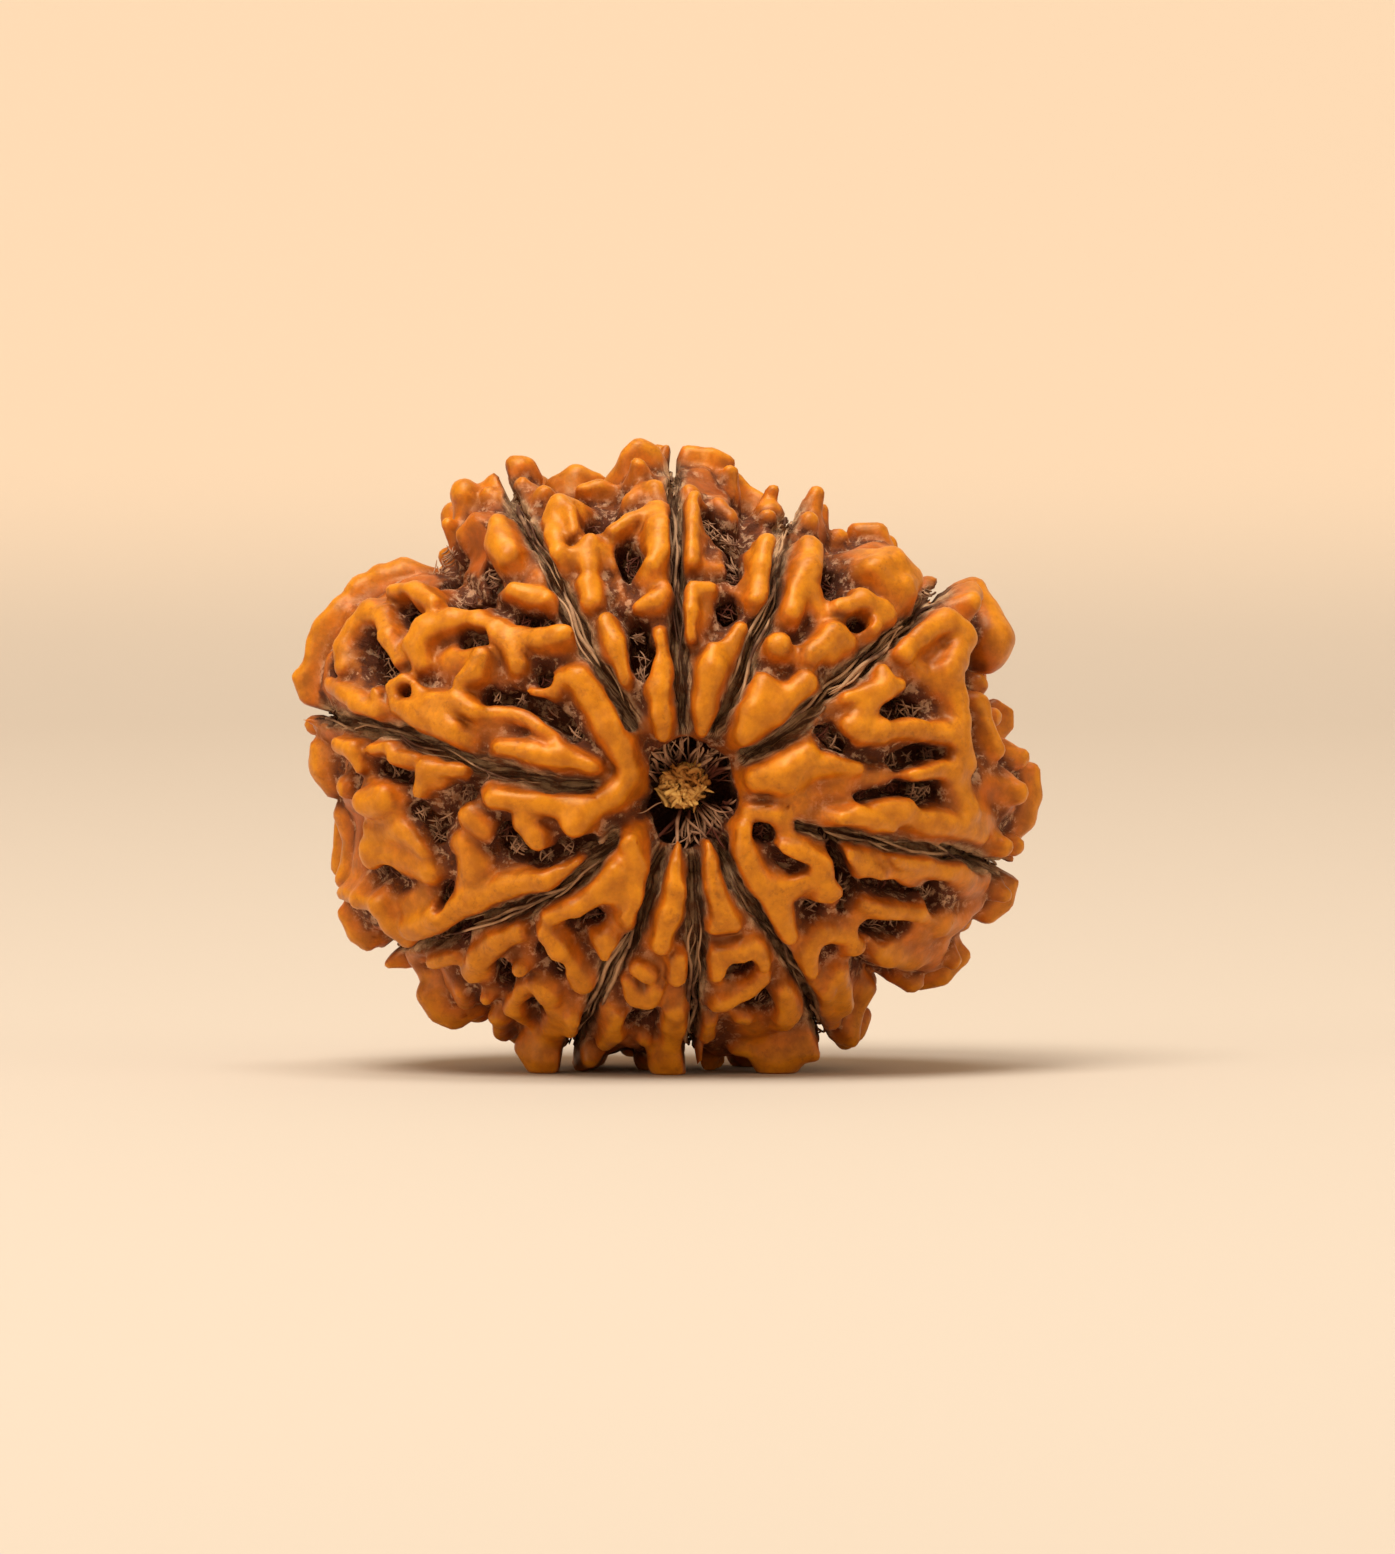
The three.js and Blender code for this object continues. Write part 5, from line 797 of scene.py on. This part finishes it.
def seed_field(block):
    """The distance to the surface, and to the middle of the nearest cleft and of the nearest hole."""
    everywhere, x, y, z = block.everywhere()
    pit = np.maximum(from_axis(x, z) - PIT["radius"], PIT["floor"] + y)
    field = soft_max(stone_distance(x, y, z), -pit, BLEND["cut"]).astype(np.float32)
    clefts = np.full_like(field, REACH["far"])
    holes = np.full_like(field, REACH["far"])
    for item in all_lobes():
        part, px, py, pz = block.near(item, REACH["lobe"])
        field[part] = soft_min(field[part], plate_distance(item, px, py, pz), BLEND["lobes"])
    for nearest, plates in ((clefts, cleft_plates()), (holes, hole_plates())):
        for item in plates:
            part, px, py, pz = block.near(item, REACH["cut"])
            away = plate_distance(item, px, py, pz)
            nearest[part] = np.minimum(nearest[part], away)
            field[part] = soft_max(field[part], -away, BLEND["cut"])
    plug = np.hypot(x - PLUG["x"], z - PLUG["z"]) - PLUG["radius"]
    plug = np.maximum(np.maximum(plug, -y - PLUG["top"]), y)
    return np.maximum(soft_min(field, plug, BLEND["cut"]), -z), clefts, holes


def surface_net(field, block):
    """A point in every cube that the surface crosses, and a square across every cube edge it crosses."""
    inside = field < 0
    count = np.array(field.shape)
    total = np.zeros(count - 1, np.int8)
    for n in range(8):
        o = (n & 1, (n >> 1) & 1, n >> 2)
        total += inside[tuple(slice(a, c - 1 + a) for a, c in zip(o, count))]
    cells = np.argwhere((total > 0) & (total < 8))
    index = np.full(count - 1, -1, np.int32)
    index[tuple(cells.T)] = np.arange(len(cells))
    places = np.zeros((len(cells), 3))
    crossings = np.zeros(len(cells))
    for axis in range(3):
        step = np.eye(3, dtype=int)[axis]
        for n in range(4):
            offset = np.zeros(3, int)
            offset[(axis + 1) % 3] = n & 1
            offset[(axis + 2) % 3] = n >> 1
            f = field[tuple((cells + offset).T)]
            g = field[tuple((cells + offset + step).T)]
            crossed = (f < 0) != (g < 0)
            share = np.where(crossed, f / np.where(crossed, f - g, 1), 0)
            places += (offset + step * share[:, None]) * crossed[:, None]
            crossings += crossed
    points = block.low + (cells + places / crossings[:, None]) * block.step
    squares = []
    for axis in range(3):
        step = np.eye(3, dtype=int)[axis]
        window = [slice(1, c - 1) for c in count]
        window[axis] = slice(0, count[axis] - 1)
        beyond = list(window)
        beyond[axis] = slice(1, count[axis])
        starts_in = inside[tuple(window)]
        crossed = np.argwhere(starts_in != inside[tuple(beyond)])
        at = crossed + 1 - step
        u = np.eye(3, dtype=int)[(axis + 1) % 3]
        v = np.eye(3, dtype=int)[(axis + 2) % 3]
        four = [index[tuple((at - a).T)] for a in (u + v, v, 0 * u, u)]
        square = np.stack(four, axis=1)
        outwards = starts_in[tuple(crossed.T)]
        squares.append(np.where(outwards[:, None], square, square[:, ::-1]))
    return points, np.concatenate(squares)


def keep_largest(points, squares):
    """Keeps the largest closed surface: the outside of the seed."""
    owner = np.arange(len(points))
    sides = np.concatenate([squares[:, [0, 1]], squares[:, [1, 2]], squares[:, [2, 3]]])
    while True:
        lowest = np.minimum(owner[sides[:, 0]], owner[sides[:, 1]])
        fresh = owner.copy()
        np.minimum.at(fresh, owner[sides[:, 0]], lowest)
        np.minimum.at(fresh, owner[sides[:, 1]], lowest)
        fresh = fresh[fresh]
        if (fresh == owner).all():
            break
        owner = fresh
    largest = np.bincount(owner).argmax()
    kept = owner == largest
    number = np.cumsum(kept) - 1
    return points[kept], number[squares[kept[squares[:, 0]]]]


def placed(name, data):
    """A new object in the scene."""
    obj = bpy.data.objects.new(name, data)
    bpy.context.scene.collection.objects.link(obj)
    return obj


def mesh_from(name, points, faces):
    mesh = bpy.data.meshes.new(name)
    mesh.from_pydata(points.tolist(), [], faces.tolist())
    mesh.update()
    return mesh


def decimated(obj, triangles):
    """The object's mesh with its faces drawn together down to a number of triangles."""
    modifier = obj.modifiers.new("fewer", "DECIMATE")
    modifier.ratio = min(1.0, triangles / (2 * len(obj.data.polygons)))
    modifier.use_collapse_triangulate = True
    evaluated = obj.evaluated_get(bpy.context.evaluated_depsgraph_get())
    mesh = bpy.data.meshes.new_from_object(evaluated)
    obj.modifiers.remove(modifier)
    return mesh


def vertex_arrays(mesh):
    count = len(mesh.vertices)
    points = np.empty(count * 3, np.float32)
    normals = np.empty(count * 3, np.float32)
    mesh.vertices.foreach_get("co", points)
    mesh.vertices.foreach_get("normal", normals)
    return points.reshape(-1, 3).astype(float), normals.reshape(-1, 3).astype(float)


def smooth_step(low, high, v):
    t = np.clip((v - low) / (high - low), 0, 1)
    return t * t * (3 - 2 * t)


def give(mesh, name, values):
    """Gives each point of the mesh a number or a vector for the material to read."""
    values = np.asarray(values, np.float32)
    kind = "FLOAT_VECTOR" if values.ndim == 2 else "FLOAT"
    attribute = mesh.attributes.new(name, kind, "POINT")
    attribute.data.foreach_set("vector" if values.ndim == 2 else "value", values.ravel())


def noise_at(points, scale, high, shift):
    return np.array([noise.noise(Vector(p)) for p in (points * scale + shift)]) * high


def depth_under_crown(points, angle):
    """How far points lie under the crown. The angle is from the open pit, about the middle."""
    q = (points - CROWN_CENTRE) / CROWN_HALF
    size = np.linalg.norm(q, axis=1)
    steep = np.linalg.norm(q / CROWN_HALF, axis=1)
    below = -size * (size - 1) / np.maximum(steep, 1e-6)
    x, y, z = points.T
    below -= np.where(y < 0, dip_at(x, z, PIT), dip_at(x, z, TIP))
    # towards the rim the crown is drawn in to the outline
    drawn_in = (1 - share_at(bearing_of(x, z))) * from_axis(x, z)
    return below - drawn_in * smooth_step(math.radians(55), math.radians(85), angle)


def give_attributes(mesh, block, field, clefts, holes):
    """What the material has to know about each point. Returns how fibrous it is, and its grain."""
    points, normals = vertex_arrays(mesh)
    x, y, z = points.T
    near = block.sample(field, points + normals * OPENNESS["near"]) / OPENNESS["near"]
    far = block.sample(field, points + normals * OPENNESS["far"]) / OPENNESS["far"]
    give(mesh, "open_near", np.clip(near, 0, 1))
    give(mesh, "open_far", np.clip(far, 0, 1))

    angle = np.arctan2(from_axis(x, z), -y)
    below = depth_under_crown(points, angle)
    give(mesh, "below", below)
    out = (points - CROWN_CENTRE) / CROWN_HALF / CROWN_HALF
    give(mesh, "facing", (out * normals).sum(axis=1) / np.linalg.norm(out, axis=1))

    # fibre lies in the valleys, along the clefts and in the hollows
    cleft = smooth_step(CLEFT["band"], 0.08, block.sample(clefts, points))
    hole = smooth_step(0.5, 0.0, block.sample(holes, points))
    valley = smooth_step(0.45, 0.85, below) * smooth_step(1.0, 0.7, far)
    along_clefts = cleft * smooth_step(0.35, 0.8, below)
    in_hollows = hole * smooth_step(0.6, 1.3, below)
    rough = np.maximum(valley, np.maximum(along_clefts, in_hollows))
    give(mesh, "cleft", cleft)
    give(mesh, "rough", rough)

    # the pit starts under the lobes that stand round it
    inside_pit = (y < 0) * smooth_step(-7.6, -6.9, y)
    give(mesh, "pit", smooth_step(PIT["radius"] + 0.5, PIT["radius"] - 0.2, from_axis(x, z)) * inside_pit)
    from_plug = np.hypot(x - PLUG["x"], z - PLUG["z"])
    give(mesh, "plug", smooth_step(PLUG["radius"] + 0.3, PLUG["radius"] - 0.1, from_plug) * inside_pit)
    bearing = bearing_of(x, z)
    grain = np.stack(
        [np.cos(bearing) * GRAIN["round"], np.sin(bearing) * GRAIN["round"], angle * GRAIN["along"]], axis=1,
    )
    give(mesh, "grain", grain)
    return rough, grain


def grown(mesh, rough, grain):
    """The mesh's points moved as a grown surface's: it wanders a little, and is finely uneven."""
    points, normals = vertex_arrays(mesh)
    # the feet stay flat
    steady = smooth_step(0.1, 0.9, points[:, 2])[:, None]
    wander = np.stack([noise_at(points, WANDER["scale"], WANDER["by"], 10.0 * i) for i in range(3)], axis=1)
    uneven = sum(noise_at(points, *layer) for layer in UNEVENNESS)
    fibrous = noise_at(points, *FIBRE_UNEVENNESS["place"]) + noise_at(grain, *FIBRE_UNEVENNESS["grain"])
    uneven = uneven + rough * fibrous
    points = points + (wander + normals * uneven[:, None]) * steady
    points -= [*MIDDLE, 0]
    points[:, 2] = np.maximum(points[:, 2], 0)
    return points


def build_seed():
    block = Block()
    field, clefts, holes = seed_field(block)
    raw = placed("raw", mesh_from("raw", *keep_largest(*surface_net(field, block))))
    mesh = decimated(raw, FINE_TRIANGLES)
    bpy.data.objects.remove(raw)
    rough, grain = give_attributes(mesh, block, field, clefts, holes)
    points = grown(mesh, rough, grain)
    mesh.vertices.foreach_set("co", (points * MM).astype(np.float32).ravel())
    mesh.update()
    mesh.shade_smooth()
    mesh.materials.append(waxy_material())
    return placed("seed_surface", mesh)


def strand(points, radius):
    """A thin tube through the points, narrow at its ends: (corners, faces)."""
    corners = []
    faces = []
    ways = np.gradient(points, axis=0)
    last = len(points) - 1
    count = STRAND["sides"]
    for i, (point, way) in enumerate(zip(points, ways)):
        side = unit(np.cross(way, [0.3, 0.8, 0.5]))
        up = unit(np.cross(side, way))
        r = radius * math.sqrt(max(0.02, 1 - (2 * i / last - 1) ** 4))
        for k in range(count):
            turn = 2 * math.pi * k / count
            corners.append(point + (side * math.cos(turn) + up * math.sin(turn)) * r)
    for i in range(last):
        for k in range(count):
            a, b = count * i + k, count * i + (k + 1) % count
            faces.append((a, b, b + count, a + count))
    faces.append(tuple(range(count - 1, -1, -1)))
    faces.append(tuple(range(count * last, count * last + count)))
    return corners, faces


def bent_line(middle, way, bend, reach):
    """Points to both sides of the middle, along way and bent a little."""
    at = np.linspace(-1, 1, STRAND["points"])[:, None]
    return middle + way * at * reach + bend * (at * at - 0.5) * reach


def random_way(n):
    return unit(np.array([chance(n) - 0.5, chance(n + 1) - 0.5, chance(n + 2) - 0.5]) + 1e-3)


def hole_strands():
    """Short strands that lie across the pits and slots."""
    strands = []
    for number, (_, *path) in enumerate(HOLES):
        places = [crown_point(x, z) for x, z, _ in path]
        for i in range(HOLE_STRANDS["count"] * min(2, len(path))):
            n = HOLE_STRANDS["draw"] + number * 211 + i * 13
            j = int(chance(n) * len(path))
            at, out = places[j], outward(places[j])
            way = random_way(n + 1)
            way = unit(way - out * float(way @ out) * 0.8)
            aside = np.cross(out, way) * (chance(n + 5) - 0.5) * 2 * path[j][2]
            middle = at + aside - out * mix(*HOLE_STRANDS["under"], chance(n + 6))
            reach = mix(*HOLE_STRANDS["reach"], chance(n + 8)) / 2
            line = bent_line(middle, way, random_way(n + 7) * 0.3, reach)
            strands.append((line, mix(*HOLE_STRANDS["radius"], chance(n + 9))))
    return strands


def pit_strands():
    """Strands from the rim of the open pit in towards its plug."""
    strands = []
    for i in range(PIT_STRANDS["count"]):
        n = PIT_STRANDS["draw"] + i * 23
        bearing = 360 * chance(n)
        away = min(abs((bearing - void + 180) % 360 - 180) for void in PIT_VOIDS["bearings"])
        if away < PIT_VOIDS["reach"] * (0.6 + 0.8 * chance(n + 1)):
            continue
        turn = math.radians(bearing)
        inner = mix(*PIT_STRANDS["inner"], chance(n + 2))
        outer = mix(*PIT_STRANDS["outer"], chance(n + 3))
        at = np.linspace(0, 1, PIT_STRANDS["points"])
        reach = mix(inner, outer, at)
        turns = turn + 1.1 * (chance(n + 4) - 0.5) * at + 0.05 * np.sin(at * 5 + n)
        plug_end = PLUG["top"] - PIT_STRANDS["sink"] * chance(n + 5)
        rim_end = PLUG["top"] + PIT_STRANDS["rise"] * chance(n + 6)
        depth = mix(plug_end, rim_end, at)
        line = np.stack([PIT["x"] + reach * np.cos(turns), -depth, PIT["z"] + reach * np.sin(turns)], axis=1)
        strands.append((line, mix(*PIT_STRANDS["radius"], chance(n + 7))))
    return strands


def plug_strands():
    """A heap of short strands on the plug, higher in its middle."""
    strands = []
    for i in range(PLUG_STRANDS["count"]):
        n = PLUG_STRANDS["draw"] + i * 19
        turn = 2 * math.pi * chance(n)
        reach = PLUG_STRANDS["spread"] * math.sqrt(chance(n + 1)) * (0.9 + 0.15 * math.sin(turn * 2 + 1))
        middle = np.array([
            PLUG["x"] + reach * math.cos(turn),
            -PLUG["top"] - mix(*PLUG_STRANDS["rise"], chance(n + 2)) + PLUG_STRANDS["dome"] * reach,
            PLUG["z"] + reach * math.sin(turn),
        ])
        length = mix(*PLUG_STRANDS["reach"], chance(n + 3))
        line = bent_line(middle, random_way(n + 4), random_way(n + 8) * 0.6, length)
        strands.append((line, mix(*PLUG_STRANDS["radius"], chance(n + 12))))
    return strands


def piece_of_strands(name, strands, material):
    """One piece of the scene from many strands, each (points, radius)."""
    corners = []
    faces = []
    for points, radius in strands:
        more, sides = strand(points, radius)
        faces += [tuple(len(corners) + n for n in side) for side in sides]
        corners += more
    corners = np.array(corners) - [*MIDDLE, 0]
    mesh = bpy.data.meshes.new(name)
    mesh.from_pydata((corners * MM).tolist(), [], faces)
    mesh.update()
    mesh.shade_smooth()
    mesh.materials.append(material)
    piece = placed(name, mesh)
    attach(piece, "root")


def cleft_strands():
    """Strands along every cleft, each over a stretch of it, a little under the crown."""
    strands = []
    for number, (path, line) in enumerate(zip(CLEFTS, CLEFT_LINES)):
        crests = cleft_crests(path, line, 0.1)
        places = np.array([at for at, _, _ in crests])
        outs = np.array([out for _, out, _ in crests])
        run = np.concatenate([[0], np.cumsum(np.linalg.norm(np.diff(places, axis=0), axis=1))])
        for i in range(CLEFT_STRANDS["count"]):
            n = CLEFT_STRANDS["draw"] + number * 331 + i * 17
            start = run[-1] * (0.04 + 0.78 * chance(n))
            end = min(run[-1], start + mix(*CLEFT_STRANDS["length"], chance(n + 1)))
            at = np.linspace(start, end, CLEFT_STRANDS["points"])
            place = np.stack([np.interp(at, run, places[:, k]) for k in range(3)], axis=1)
            out = np.stack([np.interp(at, run, outs[:, k]) for k in range(3)], axis=1)
            out /= np.linalg.norm(out, axis=1)[:, None]
            way = np.gradient(place, axis=0)
            aside = np.cross(out, way)
            aside /= np.linalg.norm(aside, axis=1)[:, None]
            wave = np.array([noise.noise(Vector((v * 0.7, n * 0.37, 0.5))) for v in at])
            lean = (chance(n + 2) * 2 - 1) * CLEFT_STRANDS["across"] + CLEFT_STRANDS["waveAcross"] * wave
            lift = -mix(*CLEFT_STRANDS["under"], chance(n + 3)) + CLEFT_STRANDS["waveUp"] * np.roll(wave, 5)
            place = place + aside * lean[:, None] + out * lift[:, None]
            strands.append((place, mix(*CLEFT_STRANDS["radius"], chance(n + 4))))
    return strands


class Nodes:
    """A new material whose shading nodes are made by short calls."""

    def __init__(self, name):
        self.material = bpy.data.materials.new(name)
        self.material.use_nodes = True
        self.tree = self.material.node_tree

    def fill(self, socket, value):
        if isinstance(value, bpy.types.NodeSocket):
            self.tree.links.new(value, socket)
        else:
            socket.default_value = value

    def add(self, kind, inputs=None, **settings):
        node = self.tree.nodes.new(kind)
        for name, value in settings.items():
            setattr(node, name, value)
        for name, value in (inputs or {}).items():
            self.fill(node.inputs[name], value)
        return node

    def shaded(self, inputs):
        """The material, once its shader's inputs are filled."""
        for name, value in inputs.items():
            self.fill(self.tree.nodes["Principled BSDF"].inputs[name], value)
        return self.material

    def place(self):
        return self.add("ShaderNodeTexCoord").outputs["Object"]

    def attribute(self, name, output="Fac"):
        return self.add("ShaderNodeAttribute", attribute_name=name).outputs[output]

    def math(self, operation, a, b):
        return self.add("ShaderNodeMath", {0: a, 1: b}, operation=operation).outputs[0]

    def times(self, a, b):
        return self.math("MULTIPLY", a, b)

    def steps(self, value, low, high, to_low=0.0, to_high=1.0):
        """A smooth step from one number to another as the value goes from low to high."""
        node = self.add(
            "ShaderNodeMapRange",
            {"Value": value, "From Min": low, "From Max": high, "To Min": to_low, "To Max": to_high},
            interpolation_type="SMOOTHSTEP",
        )
        return node.outputs[0]

    def noise(self, vector, kind, detail, roughness=0.5):
        inputs = {"Vector": vector, "Scale": FINENESS[kind], "Detail": detail, "Roughness": roughness}
        return self.add("ShaderNodeTexNoise", inputs).outputs[0]

    def bump(self, height, strength, distance, normal=None):
        inputs = {"Height": height, "Strength": strength, "Distance": distance}
        if normal is not None:
            inputs["Normal"] = normal
        return self.add("ShaderNodeBump", inputs).outputs[0]

    def blend(self, share, a, b, kind="MIX"):
        """Colour a with its share of colour b over it."""
        node = self.add("ShaderNodeMix", data_type="RGBA", blend_type=kind)
        sockets = [s for s in node.inputs if s.enabled]
        for socket, value in zip(sockets, (share, a, b)):
            self.fill(socket, value)
        return next(s for s in node.outputs if s.enabled)


def waxy_material():
    """The shell: waxy crests, redder webs between them, flecked fibre in its valleys, and painted shade in
    its creases and in the open pit.
    """
    n = Nodes("waxy_shell")
    place = n.place()
    grain = n.attribute("grain", "Vector")
    open_near, open_far, below, cleft, rough, plug, pit = (
        n.attribute(name) for name in ("open_near", "open_far", "below", "cleft", "rough", "plug", "pit")
    )

    patches = n.noise(place, "patches", 2.0)
    speckle = n.noise(place, "speckle", 5.0, 0.65)
    mottle = n.noise(place, "mottle", 4.0, 0.6)
    streaks = n.noise(grain, "streaks", 5.0, 0.7)
    flake = n.noise(place, "flake", 5.0, 0.7)

    # from the crests down into the webs between the lobes, with painted shade in the creases
    level = n.math("ADD", below, n.times(n.math("SUBTRACT", mottle, 0.5), 0.5))
    # The crest colour gives way to the slope colour lower down and where the surface turns aside, and, as
    # painted shade, where the surface is closed in near the creases.
    high = n.times(n.steps(level, 0.85, 0.15), n.steps(open_far, 0.55, 0.95, 0.3, 1.0))
    high = n.times(high, n.steps(n.attribute("facing"), 0.05, 0.8))
    colour = n.blend(high, COLOURS["slope"], COLOURS["crest"])
    web = n.times(n.steps(level, 0.6, 1.2), n.steps(patches, 0.35, 0.6, 0.4, 1.0))
    colour = n.blend(web, colour, COLOURS["web"])
    # painted shade: the colour darkens towards the dark fibre colour where the surface is closed in, in
    # creases and between the lobes
    shade = n.times(n.steps(open_near, 0.9, 0.3), n.steps(open_far, 0.8, 0.2))
    colour = n.blend(n.times(shade, 0.6), colour, COLOURS["deep"])

    # fibre: streaked in the clefts, flecked elsewhere and pale on the plug; painted shade in the open pit
    fibre = n.blend(n.steps(streaks, 0.42, 0.6), COLOURS["fibreDark"], COLOURS["fibreLight"])
    flecks = n.blend(n.steps(flake, 0.5, 0.6), COLOURS["deep"], COLOURS["fleck"])
    fibrous = n.blend(cleft, flecks, fibre)
    colour = n.blend(n.times(rough, n.steps(speckle, 0.35, 0.5, 0.45, 1.0)), colour, fibrous)
    # painted shade: the open pit is darkened towards the dark fibre colour
    colour = n.blend(n.times(pit, 0.8), colour, COLOURS["deep"])
    straw = n.blend(n.steps(streaks, 0.4, 0.62), COLOURS["strawDark"], COLOURS["straw"])
    colour = n.blend(plug, colour, straw)

    # pores, and a fine speckle over all of it
    pores = n.steps(n.noise(place, "pores", 3.0, 0.6), 0.46, 0.36)
    pores = n.times(pores, n.steps(patches, 0.4, 0.6, 0.0, 0.28))
    colour = n.blend(pores, colour, COLOURS["pore"])
    fine = n.blend(n.steps(speckle, 0.3, 0.7), (0.27, 0.27, 0.27, 1), (0.71, 0.71, 0.71, 1))
    colour = n.blend(0.6, colour, fine, "OVERLAY")

    fibres = n.math("MAXIMUM", rough, plug)
    bump = n.bump(n.noise(place, "bump", 4.0, 0.6), 0.5, 0.00006)
    bump = n.bump(n.noise(place, "fineBump", 2.0, 0.6), 0.35, 0.00002, bump)
    bump = n.bump(n.math("ADD", streaks, flake), n.times(fibres, 0.9), 0.00015, bump)
    return n.shaded({
        "Base Color": colour,
        "Roughness": n.steps(fibres, 0.0, 1.0, 0.42, 0.85),
        "Normal": bump,
        "Specular Tint": (1.0, 0.8, 0.5, 1.0),
        "Subsurface Weight": 0.12,
        "Subsurface Radius": (1.0, 0.4, 0.15),
        "Subsurface Scale": 0.0006,
    })


def fibre_material(name, dark, light):
    """Dry fibre: mottled from dark to light, and rough."""
    n = Nodes(name)
    share = n.steps(n.noise(n.place(), "fibre", 3.0), 0.38, 0.62)
    colour = n.blend(share, COLOURS[dark], COLOURS[light])
    return n.shaded({"Base Color": colour, "Roughness": 0.85, "Specular IOR Level": 0.25})


def paper_material():
    """Matt paper that changes from the floor's colour to the backdrop's as it bends up."""
    n = Nodes("paper")
    height = n.add("ShaderNodeSeparateXYZ", {"Vector": n.place()}).outputs["Z"]
    colour = n.blend(n.steps(height, 0.0, SWEEP["fade"]), COLOURS["floor"], COLOURS["backdrop"])
    return n.shaded({"Base Color": colour, "Roughness": 0.9, "Specular IOR Level": 0.2})


def build_sweep():
    """The floor, curving up behind into a backdrop."""
    bend, radius = SWEEP["bend"], SWEEP["radius"]
    profile = [(SWEEP["front"], 0.0), (SWEEP["split"], 0.0), (bend, 0.0)]
    for i in range(1, SWEEP["steps"] + 1):
        turn = math.radians(90 * i / SWEEP["steps"])
        profile.append((bend + radius * math.sin(turn), radius - radius * math.cos(turn)))
    profile.append((bend + radius, SWEEP["top"]))
    points = [(x, y, z) for x in (-SWEEP["half"], SWEEP["half"]) for y, z in profile]
    count = len(profile)
    faces = [(i, i + 1, count + i + 1, count + i) for i in range(count - 1)]
    mesh = mesh_from("floor", np.array(points), np.array(faces))
    mesh.shade_smooth()
    mesh.materials.append(paper_material())
    floor = placed("floor", mesh)


def aim(obj, target):
    obj.rotation_euler = (Vector(target) - obj.location).to_track_quat("-Z", "Y").to_euler()


def add_light(name, place, target, size, power, colour):
    light = bpy.data.lights.new(name, "AREA")
    light.shape = "DISK"
    light.size = size
    light.energy = power
    light.color = colour
    obj = placed(name, light)
    obj.location = place
    aim(obj, target)


def build_lights():
    for light in LIGHTS:
        add_light(*light)
    world = bpy.data.worlds.new("world")
    world.use_nodes = True
    background = world.node_tree.nodes["Background"]
    background.inputs["Color"].default_value = COLOURS["air"]
    background.inputs["Strength"].default_value = AIR_STRENGTH
    bpy.context.scene.world = world


def build_camera():
    camera = bpy.data.cameras.new("camera")
    camera.lens = CAMERA["lens"]
    camera.clip_end = 10
    obj = placed("camera", camera)
    target = Vector(((CAMERA["aim"][0] - MIDDLE[0]) * MM, 0, CAMERA["aim"][1] * MM))
    rise = math.radians(CAMERA["elevation"])
    obj.location = target + Vector((0, -math.cos(rise), math.sin(rise))) * CAMERA["distance"]
    aim(obj, target)
    bpy.context.scene.camera = obj


bpy.context.scene.view_settings.view_transform = "Standard"
seed = build_seed()
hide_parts("seed")
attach(seed, "root")
fibre = fibre_material("fibre", "fibreDark", "fibreLight")
piece_of_strands("cleft_strands", cleft_strands(), fibre)
fleck = fibre_material("fleck", "deep", "fleck")
piece_of_strands("hole_strands", hole_strands(), fleck)
piece_of_strands("pit_strands", pit_strands(), fleck)
straw = fibre_material("straw", "strawDark", "straw")
piece_of_strands("plug_strands", plug_strands(), straw)
build_sweep()
build_lights()
build_camera()
